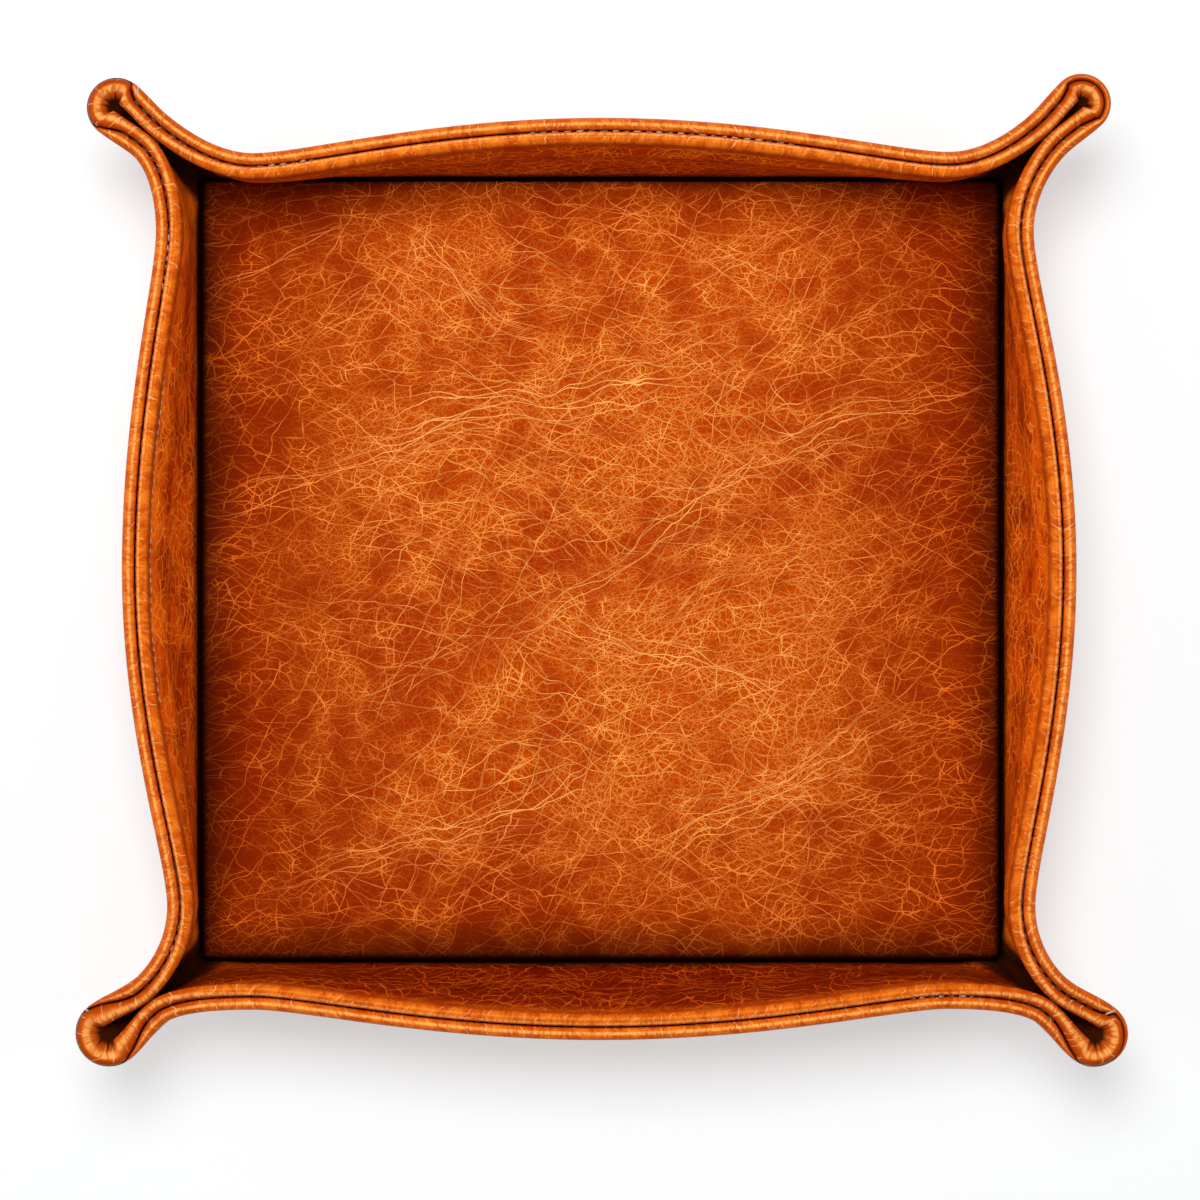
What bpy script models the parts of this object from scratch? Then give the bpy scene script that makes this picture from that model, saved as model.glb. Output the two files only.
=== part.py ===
"""Leather coin tray: a flat floor panel, four leaning walls and four folded corner ears.

The rim is a pair of leather rolls, each round a filler cord, with a stitched groove between.
Every wall layer follows one plan line, which is a rectangle at the fold where the walls rise,
and bellies out and runs round the four ears at the rim. The walls are padded on their inner
face from neck to neck, and the ears are not.
Units are metres, +Z is up, and the origin is the centre of the underside.
"""
import math
from collections import namedtuple

import bmesh
import bpy

# Driving dimensions
FLOOR_WIDTH = 0.198
FLOOR_DEPTH = 0.193
TRAY_HEIGHT = 0.034
FOLD_HEIGHT = 0.0016
CORNER_RADIUS = 0.0045
CREASE_WIDTH = 0.0011
CLEARANCE = 0.0003
THREAD_CLEARANCE = 0.00015

# Leathers, boards, cords and threads
COVER_THICKNESS = 0.0012
LINING_THICKNESS = 0.0010
SKIVED_THICKNESS = 0.0006
STIFFENER_THICKNESS = 0.0008
PADDING_THICKNESS = 0.0013
BASE_BOARD_THICKNESS = 0.0015
PANEL_BOARD_THICKNESS = 0.0015
PANEL_LEATHER_THICKNESS = 0.0010
RIM_CORD_DIAMETER = 0.0012
RIM_THREAD_DIAMETER = 0.0005
SEAM_THREAD_DIAMETER = 0.0005

# Turned-in edges, seams and roundings
FLANGE_WIDTH = 0.014
FLANGE_CORNER_RADIUS = 0.0010
PANEL_TURN_IN = 0.012
PANEL_CORNER_RADIUS = 0.0016
PANEL_EDGE_RADIUS = 0.0006
UNDERSIDE_EDGE_RADIUS = 0.0010
SEAM_DROP = 0.0036
SEAM_CHANNEL_DEPTH = 0.0004
SEAM_CHANNEL_WIDTH = 0.0010
STIFFENER_MARGIN = 0.0010
ROLL_OPENING_ANGLE = math.radians(45)
ROLL_FOOT_ANGLE = math.radians(-80)
PADDED_FOOT_ANGLE = math.radians(-30)

# The rim's plan line, measured outwards from the floor panel's edge
NECK_DISTANCE = 0.0153
EAR_START = 0.0125
NECK_PULL = 0.15
BELLY_PULL = 0.49
THROAT_SIDE_PULL = 0.0100
THROAT_EAR_PULL = 0.0050
EAR_SPACING = 0.0003

Side = namedtuple("Side", "name outward neck_before belly neck_after")
SIDES = (
    Side("right", (1, 0), 0.0025, 0.0124, 0.0021),
    Side("back", (0, 1), 0.0008, 0.0090, 0.0005),
    Side("left", (-1, 0), 0.0050, 0.0132, 0.0023),
    Side("front", (0, -1), 0.0065, 0.0138, 0.0063),
)

# The ear that follows each side, anticlockwise: its loop's centre beyond the floor's corner
Ear = namedtuple("Ear", "name across along loop_radius")
EARS = (
    Ear("back_right", 0.0167, 0.0156, 0.0040),
    Ear("back_left", 0.0177, 0.0147, 0.0041),
    Ear("front_left", 0.0195, 0.0153, 0.0050),
    Ear("front_right", 0.0199, 0.0155, 0.0049),
)

# Corner tacks
TACK_DIAMETER = 0.0030
TACK_DROP = 0.0090
TACK_SETBACK = 0.0070

# Stations along the plan line, and facets
HALF_SIDE_STATIONS = 4
THROAT_STATIONS = 3
EAR_SIDE_STATIONS = 1
LOOP_STATIONS = 6
WALL_STEPS = 1
ROLL_POINTS = 8
ROLL_CORE_POINTS = 6
CORD_FACETS = 5
THREAD_FACETS = 4
CORNER_FACETS = 4
TACK_FACETS = 12

# Layers across the wall, from its middle outwards
CORE_HALF = STIFFENER_THICKNESS / 2 + CLEARANCE
COVER_FACE = CORE_HALF + COVER_THICKNESS
LINING_FACE = CORE_HALF + LINING_THICKNESS
PADDED_EXTRA = PADDING_THICKNESS + CLEARANCE
ROLL_CORE_RADIUS = RIM_CORD_DIAMETER / 2 + CLEARANCE
ROLL_RADIUS = ROLL_CORE_RADIUS + SKIVED_THICKNESS
ROLL_OFFSET = ROLL_RADIUS + CLEARANCE / 2
RIM_HALF = ROLL_OFFSET + ROLL_RADIUS
EAR_HALF = RIM_HALF + EAR_SPACING / 2

# Levels, from the underside up
BASE_BOARD_LEVEL = COVER_THICKNESS + CLEARANCE
BASE_BOARD_TOP = BASE_BOARD_LEVEL + BASE_BOARD_THICKNESS
FLANGE_LEVEL = BASE_BOARD_TOP + CLEARANCE
FLANGE_TOP = FLANGE_LEVEL + LINING_THICKNESS
PANEL_LEVEL = FLANGE_TOP + CLEARANCE
PANEL_BOARD_LEVEL = PANEL_LEVEL + SKIVED_THICKNESS + CLEARANCE
PANEL_BOARD_TOP = PANEL_BOARD_LEVEL + PANEL_BOARD_THICKNESS
PANEL_INSIDE_TOP = PANEL_BOARD_TOP + CLEARANCE
FLOOR_LEVEL = PANEL_INSIDE_TOP + PANEL_LEATHER_THICKNESS
ROLL_LEVEL = TRAY_HEIGHT - ROLL_RADIUS
ROLL_BOTTOM = ROLL_LEVEL - ROLL_RADIUS
SEAM_LEVEL = TRAY_HEIGHT - SEAM_DROP
TACK_LEVEL = TRAY_HEIGHT - TACK_DROP
WALL_TOP = SEAM_LEVEL - SEAM_CHANNEL_WIDTH / 2 - STIFFENER_MARGIN
WALL_LEVELS = [FLANGE_TOP + (WALL_TOP - FLANGE_TOP) * step / WALL_STEPS
               for step in range(WALL_STEPS + 1)]

# The wall's middle at the fold lies this far beyond the floor panel's edge
FOLD_OUTSET = CREASE_WIDTH + LINING_FACE + PADDED_EXTRA

COVER_COLOUR = (0.36, 0.075, 0.008)
LINING_COLOUR = (0.40, 0.085, 0.009)
PANEL_COLOUR = (0.56, 0.095, 0.008)
BOARD_COLOUR = (0.36, 0.31, 0.24)
FELT_COLOUR = (0.30, 0.29, 0.27)
CORD_COLOUR = (0.70, 0.66, 0.56)
THREAD_COLOUR = (0.62, 0.60, 0.56)


def scaled(vector, length):
    """Return a plan vector times a length."""
    return (vector[0] * length, vector[1] * length)


def plus(*vectors):
    """Return the sum of plan vectors."""
    return (sum(v[0] for v in vectors), sum(v[1] for v in vectors))


def quarter_turn(vector):
    """Return a plan vector turned a quarter turn anticlockwise."""
    return (-vector[1], vector[0])


def bezier(start, start_pull, end_pull, end, steps):
    """Return points of a cubic curve, its start included and its end left out."""
    points = []
    for step in range(steps):
        u = step / steps
        v = 1 - u
        weights = (v ** 3, 3 * v * v * u, 3 * v * u * u, u ** 3)
        parts = zip((start, start_pull, end_pull, end), weights)
        points.append(plus(*(scaled(point, weight) for point, weight in parts)))
    return points


def half_extent(vector):
    """Return half the floor panel's size along a plan axis."""
    return FLOOR_WIDTH / 2 if vector[0] else FLOOR_DEPTH / 2


def neck_points(side):
    """Return a side's two neck points at the rim, and its belly point between them."""
    along = quarter_turn(side.outward)
    edge = scaled(side.outward, half_extent(side.outward))
    reach = half_extent(along) - NECK_DISTANCE
    before = plus(edge, scaled(along, -reach), scaled(side.outward, side.neck_before))
    belly = plus(edge, scaled(side.outward, side.belly))
    after = plus(edge, scaled(along, reach), scaled(side.outward, side.neck_after))
    return before, belly, after


def side_line(side):
    """Return the rim's plan line along one side, from neck to neck."""
    along = quarter_turn(side.outward)
    before, belly, after = neck_points(side)
    reach = half_extent(along) - NECK_DISTANCE
    neck_pull = scaled(along, reach * NECK_PULL)
    belly_pull = scaled(along, reach * BELLY_PULL)
    rising = bezier(before, plus(before, neck_pull), plus(belly, scaled(belly_pull, -1)), belly,
                    HALF_SIDE_STATIONS)
    falling = bezier(belly, plus(belly, belly_pull), plus(after, scaled(neck_pull, -1)), after,
                     HALF_SIDE_STATIONS)
    return rising + falling


def ear_frame(index):
    """Return an ear's corner of the floor, its direction, its side direction and its length."""
    side = SIDES[index]
    following = SIDES[(index + 1) % len(SIDES)]
    ear = EARS[index]
    corner = plus(scaled(side.outward, half_extent(side.outward)),
                  scaled(following.outward, half_extent(following.outward)))
    across, along = (ear.across, ear.along) if side.outward[0] else (ear.along, ear.across)
    reach = plus(scaled(side.outward, across), scaled(following.outward, along))
    length = math.hypot(*reach)
    direction = scaled(reach, 1 / length)
    return corner, direction, scaled(quarter_turn(direction), -1), length


def ear_side(index, share):
    """Return a point on the near side of an ear, at a share of the way to its loop."""
    corner, direction, sideways, length = ear_frame(index)
    distance = EAR_START + (length - EAR_START) * share
    swell = share * share * (3 - 2 * share)
    half = EAR_HALF + (EARS[index].loop_radius - EAR_HALF) * swell
    return plus(corner, scaled(direction, distance)), scaled(sideways, half)


def ear_line(index):
    """Return the rim's plan line round one ear, from the neck before it to the neck after it."""
    side = SIDES[index]
    following = SIDES[(index + 1) % len(SIDES)]
    before = neck_points(side)[2]
    after = neck_points(following)[0]
    corner, direction, sideways, length = ear_frame(index)
    root, root_half = ear_side(index, 0)
    start = plus(root, root_half)
    end = plus(root, scaled(root_half, -1))
    side_pull = scaled(quarter_turn(side.outward), THROAT_SIDE_PULL)
    following_pull = scaled(quarter_turn(following.outward), -THROAT_SIDE_PULL)
    ear_pull = scaled(direction, -THROAT_EAR_PULL)
    line = bezier(before, plus(before, side_pull), plus(start, ear_pull), start, THROAT_STATIONS)
    for step in range(EAR_SIDE_STATIONS):
        middle, half = ear_side(index, step / EAR_SIDE_STATIONS)
        line.append(plus(middle, half))
    centre = plus(corner, scaled(direction, length))
    for step in range(LOOP_STATIONS):
        angle = math.pi * step / LOOP_STATIONS
        line.append(plus(centre, scaled(sideways, EARS[index].loop_radius * math.cos(angle)),
                         scaled(direction, EARS[index].loop_radius * math.sin(angle))))
    for step in range(EAR_SIDE_STATIONS, 0, -1):
        middle, half = ear_side(index, step / EAR_SIDE_STATIONS)
        line.append(plus(middle, scaled(half, -1)))
    line += bezier(end, plus(end, ear_pull), plus(after, following_pull), after, THROAT_STATIONS)
    return line


def rim_line():
    """Return the plan line of the wall's middle at the rim, anticlockwise."""
    line = []
    for index, side in enumerate(SIDES):
        line += side_line(side) + ear_line(index)
    return line


def outset_corner(index, share, outset, radius):
    """Return a point near a corner of a rectangle: share -1 and 1 are its two necks."""
    side = SIDES[index]
    following = SIDES[(index + 1) % len(SIDES)]
    centre = plus(scaled(side.outward, half_extent(side.outward) + outset - radius),
                  scaled(following.outward, half_extent(following.outward) + outset - radius))
    half_arc = radius * math.pi / 4
    distance = abs(share) * (NECK_DISTANCE + outset - radius + half_arc)
    turn = min(distance, half_arc) / radius
    straight = max(distance - half_arc, 0)
    near, far = (side, following) if share < 0 else (following, side)
    angle = math.pi / 4 + turn
    return plus(centre, scaled(near.outward, radius * math.sin(angle)),
                scaled(far.outward, radius * math.cos(angle) - straight))


def outset_line(outset, radius):
    """Return a rounded rectangle round the floor panel's edge, with the rim's stations."""
    line = []
    ear_stations = 2 * (THROAT_STATIONS + EAR_SIDE_STATIONS) + LOOP_STATIONS
    for index, side in enumerate(SIDES):
        along = quarter_turn(side.outward)
        edge = scaled(side.outward, half_extent(side.outward) + outset)
        reach = half_extent(along) - NECK_DISTANCE
        for step in range(2 * HALF_SIDE_STATIONS):
            line.append(plus(edge, scaled(along, reach * (step / HALF_SIDE_STATIONS - 1))))
        for step in range(ear_stations):
            line.append(outset_corner(index, 2 * step / ear_stations - 1, outset, radius))
    return line


def padded_shares():
    """Return how far each station belongs to a padded side, 1 there and 0 in an ear."""
    shares = []
    fade = [1 - (step + 1) / THROAT_STATIONS for step in range(THROAT_STATIONS)]
    ear_stations = 2 * EAR_SIDE_STATIONS + LOOP_STATIONS
    for _ in SIDES:
        shares += [1] * (2 * HALF_SIDE_STATIONS + 1)
        shares += fade + [0] * (ear_stations - 1) + fade[::-1]
    return shares


RIM_LINE = rim_line()
FOLD_LINE = outset_line(FOLD_OUTSET, CORNER_RADIUS)
PADDED_SHARES = padded_shares()
SIDE_STATIONS = 2 * HALF_SIDE_STATIONS
STATIONS_PER_SIDE = len(RIM_LINE) // len(SIDES)


def rise_at(height):
    """Return how far up the leaning wall a height is, from 0 at the fold to 1 at the rolls."""
    return min(max((height - FOLD_HEIGHT) / (ROLL_BOTTOM - FOLD_HEIGHT), 0), 1)


def mixed(low, high, share):
    """Return a plan point or section point between two others."""
    return plus(scaled(low, 1 - share), scaled(high, share))


def ring(ear_point, side_point=None):
    """Return a ring of points round the tray, from its section's offset and height.

    The offset is measured outwards from the plan line. The ears take the first section
    point and the padded sides the second.
    """
    points = []
    count = len(RIM_LINE)
    for index, share in enumerate(PADDED_SHARES):
        offset, height = mixed(ear_point, side_point or ear_point, share)
        rise = rise_at(height)
        point, before, after = (mixed(FOLD_LINE[at % count], RIM_LINE[at % count], rise)
                                for at in (index, index - 1, index + 1))
        tangent = (after[0] - before[0], after[1] - before[1])
        outward = scaled((tangent[1], -tangent[0]), offset / math.hypot(*tangent))
        points.append((*plus(point, outward), height))
    return points


def panel_ring(inset, height):
    """Return a rounded rectangle inset from the floor panel's edge."""
    radius = max(PANEL_CORNER_RADIUS - inset, PANEL_CORNER_RADIUS / CORNER_FACETS)
    points = []
    for quarter in range(4):
        for step in range(CORNER_FACETS + 1):
            angle = (quarter + step / CORNER_FACETS) * math.pi / 2
            sign_x = 1 if quarter in (0, 3) else -1
            sign_y = 1 if quarter in (0, 1) else -1
            points.append((sign_x * (FLOOR_WIDTH / 2 - inset - radius) + radius * math.cos(angle),
                           sign_y * (FLOOR_DEPTH / 2 - inset - radius) + radius * math.sin(angle),
                           height))
    return points


def material(name, colour, roughness):
    """Return a plain material for one kind of piece."""
    made = bpy.data.materials.new(name)
    made.use_nodes = True
    shader = made.node_tree.nodes["Principled BSDF"]
    shader.inputs["Base Color"].default_value = (*colour, 1)
    shader.inputs["Roughness"].default_value = roughness
    shader.inputs["Metallic"].default_value = 0
    return made


def add_object(name, mesh_data, surface):
    """Turn a bmesh into a named object with one material."""
    bmesh.ops.recalc_face_normals(mesh_data, faces=mesh_data.faces)
    mesh = bpy.data.meshes.new(name)
    mesh_data.to_mesh(mesh)
    mesh_data.free()
    mesh.shade_smooth()
    mesh.set_sharp_from_angle(angle=math.radians(40))
    mesh.materials.append(surface)
    made = bpy.data.objects.new(name, mesh)
    bpy.context.collection.objects.link(made)
    return made


def extrude_ring(mesh_data, verts, edges, points):
    """Extrude a ring of edges onto the next ring's points, station by station."""
    made = bmesh.ops.extrude_edge_only(mesh_data, edges=edges)["geom"]
    fresh = {item for item in made if isinstance(item, bmesh.types.BMVert)}
    twins = []
    for vert, point in zip(verts, points):
        twin = next(edge.other_vert(vert) for edge in vert.link_edges
                    if edge.other_vert(vert) in fresh)
        twin.co = point
        twins.append(twin)
    made_edges = [item for item in made if isinstance(item, bmesh.types.BMEdge)]
    for index, vert in enumerate(verts):
        split_quad((verts[index - 1], vert), (twins[index - 1], twins[index]))
    return twins, made_edges


def split_quad(near, far):
    """Split the face between two edges so that every wall layer has the same diagonals."""
    face = next(face for face in near[0].link_faces
                if {near[1], far[0], far[1]} <= set(face.verts))
    level = abs(near[0].co.z - near[1].co.z) < abs(near[0].co.z - far[0].co.z)
    rising = far[0].co.z > near[0].co.z if level else near[1].co.z > near[0].co.z
    ends = (near[0], far[1]) if rising else (near[1], far[0])
    bmesh.utils.face_split(face, *ends)


def loft(name, rings, surface, closed=False):
    """Run a skin through rings of points; an open stack gets a flat face at each end."""
    mesh_data = bmesh.new()
    first = bmesh.ops.create_circle(mesh_data, segments=len(rings[0]), radius=1)["verts"]
    for vert, point in zip(first, rings[0]):
        vert.co = point
    start_edges = list(mesh_data.edges)
    verts, edges = first, start_edges
    for points in rings[1:] + (rings[:1] if closed else []):
        verts, edges = extrude_ring(mesh_data, verts, edges, points)
    if closed:
        bmesh.ops.weld_verts(mesh_data, targetmap=dict(zip(verts, first)))
    else:
        bmesh.ops.edgeloop_fill(mesh_data, edges=start_edges)
        bmesh.ops.edgeloop_fill(mesh_data, edges=edges)
    return add_object(name, mesh_data, surface)


def roll_arc(radius, start, end, count):
    """Return points round the outer roll's centre, as offset and height, between two angles."""
    points = []
    for step in range(count):
        angle = start + (end - start) * step / (count - 1)
        points.append((ROLL_OFFSET + radius * math.cos(angle),
                       ROLL_LEVEL + radius * math.sin(angle)))
    return points


def wall_section(face, back, foot_angle):
    """Return a wall leather's section: up its face, over its roll and down its back."""
    half = SEAM_CHANNEL_WIDTH / 2
    deep = face - SEAM_CHANNEL_DEPTH
    tail_angle = math.radians(270) - ROLL_OPENING_ANGLE
    rising = [(face, level) for level in WALL_LEVELS]
    channel = [(face, SEAM_LEVEL - half), (deep, SEAM_LEVEL - half / 2),
               (deep, SEAM_LEVEL + half / 2)]
    roll = roll_arc(ROLL_RADIUS, foot_angle, tail_angle, ROLL_POINTS)
    roll += roll_arc(ROLL_CORE_RADIUS, tail_angle, foot_angle, ROLL_CORE_POINTS)
    falling = [(back, level) for level in reversed(WALL_LEVELS)]
    return rising + channel + roll + [(back, ROLL_BOTTOM)] + falling


def make_outer_cover(surface):
    """Make the outer leather: the underside, the outer walls and the outer roll."""
    section = [(COVER_FACE - UNDERSIDE_EDGE_RADIUS, 0), (COVER_FACE, UNDERSIDE_EDGE_RADIUS)]
    section += wall_section(COVER_FACE, CORE_HALF, ROLL_FOOT_ANGLE)
    section += [(CORE_HALF, FOLD_HEIGHT), (CORE_HALF, COVER_THICKNESS)]
    return loft("outer_cover", [ring(point) for point in section], surface)


def lining_section(extra, foot_angle):
    """Return the lining's section with its wall moved inwards by the padding below it."""
    back = CORE_HALF + extra
    section = wall_section(LINING_FACE + extra, back, foot_angle) + [(back, FLANGE_LEVEL)]
    return [(-offset, height) for offset, height in section]


def flange_ring(height):
    """Return the flange's edge, a rectangle that lies inwards of the floor panel's edge."""
    line = outset_line(CREASE_WIDTH - FLANGE_WIDTH, FLANGE_CORNER_RADIUS)
    return [(*point, height) for point in line]


def make_wall_lining(surface):
    """Make the inner leather: the inner walls, the inner roll and the flange on the base."""
    ears = lining_section(0, ROLL_FOOT_ANGLE)
    sides = lining_section(PADDED_EXTRA, PADDED_FOOT_ANGLE)
    rings = [ring(*points) for points in zip(ears, sides)]
    rings = [flange_ring(FLANGE_TOP)] + rings + [flange_ring(FLANGE_LEVEL)]
    return loft("wall_lining", rings, surface, closed=True)


def make_tube(name, centre, radius, facets, surface, padded_extra=0):
    """Make a closed strand that follows the whole rim at one offset and height."""
    rings = []
    for step in range(facets):
        angle = 2 * math.pi * (step + 0.5) / facets
        point = plus(centre, (radius * math.cos(angle), radius * math.sin(angle)))
        rings.append(ring(point, plus(point, (padded_extra, 0))))
    return loft(name, rings, surface, closed=True)


def make_rim_cords(surface):
    """Make the filler cord inside each roll."""
    radius = RIM_CORD_DIAMETER / 2
    make_tube("outer_rim_cord", (ROLL_OFFSET, ROLL_LEVEL), radius, CORD_FACETS, surface)
    make_tube("inner_rim_cord", (-ROLL_OFFSET, ROLL_LEVEL), radius, CORD_FACETS, surface)


def make_threads(surface):
    """Make the thread in the rim's groove and the two threads of the seam below the rolls."""
    radius = RIM_THREAD_DIAMETER / 2
    reach = ROLL_RADIUS + THREAD_CLEARANCE + radius
    level = ROLL_LEVEL + math.sqrt(reach ** 2 - ROLL_OFFSET ** 2)
    make_tube("rim_thread", (0, level), radius, THREAD_FACETS, surface)
    radius = SEAM_THREAD_DIAMETER / 2
    proud = radius + THREAD_CLEARANCE - SEAM_CHANNEL_DEPTH
    make_tube("topstitch_thread", (-LINING_FACE - proud, SEAM_LEVEL), radius, THREAD_FACETS,
              surface, -PADDED_EXTRA)
    make_tube("bobbin_thread", (COVER_FACE + proud, SEAM_LEVEL), radius, THREAD_FACETS, surface)


def make_side_layer(name, index, inner, outer, surface):
    """Make one layer inside a wall, from neck to neck, between two offsets."""
    section = [(inner, level) for level in WALL_LEVELS]
    section += [(outer, level) for level in reversed(WALL_LEVELS)]
    corners = [ring(point) for point in section]
    start = index * STATIONS_PER_SIDE
    stations = range(start, start + SIDE_STATIONS + 1)
    rings = [[corner[station] for corner in corners] for station in stations]
    return loft(name + "_" + SIDES[index].name, rings, surface)


def make_wall_filling(index, board, felt):
    """Make the stiffener and the padding inside one wall."""
    half = STIFFENER_THICKNESS / 2
    make_side_layer("wall_stiffener", index, -half, half, board)
    make_side_layer("wall_padding", index, -CORE_HALF - PADDING_THICKNESS, -CORE_HALF, felt)


def make_base_board(surface):
    """Make the board that lies on the underside leather."""
    offset = CORE_HALF - CLEARANCE
    rings = [ring((offset, BASE_BOARD_LEVEL)), ring((offset, BASE_BOARD_TOP))]
    return loft("base_board", rings, surface)


def make_floor_panel(leather, board):
    """Make the floor panel: a board with leather wrapped over its top and turned in below."""
    inside = SKIVED_THICKNESS + PANEL_TURN_IN
    wall = PANEL_LEATHER_THICKNESS
    edge = PANEL_EDGE_RADIUS
    section = [(inside, PANEL_LEVEL), (edge, PANEL_LEVEL), (0, PANEL_LEVEL + edge),
               (0, FLOOR_LEVEL - edge), (edge, FLOOR_LEVEL)]
    hollow = [(inside, PANEL_LEVEL + SKIVED_THICKNESS), (wall, PANEL_LEVEL + SKIVED_THICKNESS),
              (wall, PANEL_INSIDE_TOP)]
    rings = [panel_ring(inset, height) for inset, height in section[::-1] + hollow]
    loft("floor_panel_cover", rings, leather)
    board_inset = PANEL_LEATHER_THICKNESS + CLEARANCE
    rings = [panel_ring(board_inset, PANEL_BOARD_LEVEL), panel_ring(board_inset, PANEL_BOARD_TOP)]
    loft("floor_panel_board", rings, board)


def make_corner_tack(index, surface):
    """Make the bunched stitch that holds an ear's two faces together in its throat."""
    corner, direction, sideways, length = ear_frame(index)
    rise = rise_at(TACK_LEVEL)
    fold_tip = outset_corner(index, 0, FOLD_OUTSET, CORNER_RADIUS)
    tip = plus(corner, scaled(direction, length))
    distance = math.dist(fold_tip, tip) * rise - TACK_SETBACK
    centre = plus(fold_tip, scaled(direction, distance))
    rings = []
    half = EAR_HALF - LINING_FACE - CLEARANCE
    for end in (-half, half):
        middle = plus(centre, scaled(sideways, end))
        points = []
        for step in range(TACK_FACETS):
            angle = 2 * math.pi * step / TACK_FACETS
            offset = scaled(direction, TACK_DIAMETER / 2 * math.cos(angle))
            points.append((*plus(middle, offset),
                           TACK_LEVEL + TACK_DIAMETER / 2 * math.sin(angle)))
        rings.append(points)
    return loft("corner_tack_" + EARS[index].name, rings, surface)


def main():
    """Clear the scene and make every piece of the tray."""
    for existing in list(bpy.data.objects):
        bpy.data.objects.remove(existing)
    cover = material("cover_leather", COVER_COLOUR, 0.42)
    lining = material("lining_leather", LINING_COLOUR, 0.42)
    panel = material("panel_leather", PANEL_COLOUR, 0.45)
    board = material("grey_board", BOARD_COLOUR, 0.85)
    felt = material("padding_felt", FELT_COLOUR, 0.95)
    cord = material("filler_cord", CORD_COLOUR, 0.9)
    thread = material("waxed_thread", THREAD_COLOUR, 0.55)
    make_outer_cover(cover)
    make_wall_lining(lining)
    make_floor_panel(panel, board)
    make_base_board(board)
    make_rim_cords(cord)
    make_threads(thread)
    for index in range(len(SIDES)):
        make_wall_filling(index, board, felt)
        make_corner_tack(index, thread)


main()
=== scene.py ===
"""A leather coin tray: rolled and stitched rim, gathered ears and crackled leather.

Units are metres, +Z is up, and the origin is the centre of the underside. Every wall leather
is a section of points that follows stations round the rim. A section point is an offset,
outwards from the wall's plan line, and a height.
"""
import math
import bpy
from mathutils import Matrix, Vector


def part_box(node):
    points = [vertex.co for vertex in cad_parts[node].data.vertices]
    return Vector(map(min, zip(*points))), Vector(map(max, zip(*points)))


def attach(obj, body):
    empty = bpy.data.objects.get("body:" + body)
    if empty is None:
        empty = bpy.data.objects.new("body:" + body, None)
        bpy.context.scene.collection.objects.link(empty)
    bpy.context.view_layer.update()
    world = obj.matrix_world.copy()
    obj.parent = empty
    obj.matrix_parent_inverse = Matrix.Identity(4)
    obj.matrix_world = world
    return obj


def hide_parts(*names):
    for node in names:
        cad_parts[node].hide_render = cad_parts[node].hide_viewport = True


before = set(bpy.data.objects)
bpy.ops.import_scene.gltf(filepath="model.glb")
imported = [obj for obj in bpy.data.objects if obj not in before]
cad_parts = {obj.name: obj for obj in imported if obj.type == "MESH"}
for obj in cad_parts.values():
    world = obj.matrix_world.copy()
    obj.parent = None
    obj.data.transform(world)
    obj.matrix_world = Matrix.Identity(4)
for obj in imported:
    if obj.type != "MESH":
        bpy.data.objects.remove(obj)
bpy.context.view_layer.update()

from types import SimpleNamespace

import bmesh
import bpy
import numpy as np
from mathutils import Matrix, Vector, noise

bl_info = {
    "name": "Leather Coin Tray",
    "version": (1, 0, 0),
    "blender": (4, 5, 0),
    "location": "3D View > Sidebar > Coin Tray",
    "description": "Models a stitched leather coin tray piece by piece",
    "category": "Add Mesh",
}

PANEL_LOW, PANEL_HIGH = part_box("floor_panel_cover")
FLANGE_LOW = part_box("wall_lining")[0].z
TRAY_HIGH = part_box("outer_cover")[1].z

# The wall's layers and its swell, as in the solid model where that has them. A pair of numbers
# for a soft step, here and below, is a start and a length
CLEARANCE = 0.0003
CORE_HALF = 0.0007
PADDED_EXTRA = 0.0016
FOLD_HEIGHT = 0.0016
PADDING_KNEE = 0.0092
KNEE_SOFTNESS = 0.15
PADDING_PUFF = 0.0008
PUFF_DROP = 0.0080
PUFF_REACH = 0.0030
FOOT_EXTRA = 0.00015
FOOT_SPREAD = (0.0090, 0.0080)
WALL_BULGE = 0.00025
WALL_SWAY = 0.0002
CORNER_RADIUS = 0.0045
CORNER_SPREAD = 1.6
FLANGE_INSET = 0.0129
FLANGE_CORNER_RADIUS = 0.0010
UNDERSIDE_EDGE_RADIUS = 0.0010

# How far off the flat faces' pattern starts, so that it stays clear of the walls' pattern
FLAT_FROM_CREST = 1.0

# The threads and cords: the corner tacks' place and loops, the cords' size and twist, and how
# the stitches lie and how far they follow a shifting groove
TACK_DROP = 0.0090
TACK_SETBACK = 0.0070
TACK_HALF_WIDTH = 0.0012
TACK_RADIUS = 0.0012
TACK_UNEVEN = 0.00008
TACK_LOOPS = 5
CORD_RADIUS = 0.0005
CORD_GONE = 0.0030
CORD_LAY = 0.012
CORD_FACETS = 10
CORD_PLIES = 3
PLY_RELIEF = 0.10
STITCH_SHAKE = 0.00005
GROOVE_STITCH_LOW = 0.0016
GROOVE_STITCH_RISE = 0.00235
SEAM_STITCH_LIFT = 0.0002
SEAM_STITCH_HIDDEN = 0.0008
SEAM_STITCH_SUNK = 0.00012
GROOVE_SEWN_TO = 0.0004
SEAM_SEWN_TO = 0.0002

# The floor panel's leather: its cells, rounded corners and edge, ripples, sink and thickness,
# and how far it turns in below the board, in two steps
PANEL_CELLS = 110
PANEL_CORNER = 0.0016
PANEL_ROUNDING = 0.0009
PANEL_RIPPLE = 0.00022
PANEL_FLAT_EDGE = 0.012
PANEL_SINK = 0.0003
PANEL_LEATHER = 0.0007
TURNED_IN = (0.0060, 0.0110)
MITRE_REACH = PANEL_CORNER + 0.0125

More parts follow.
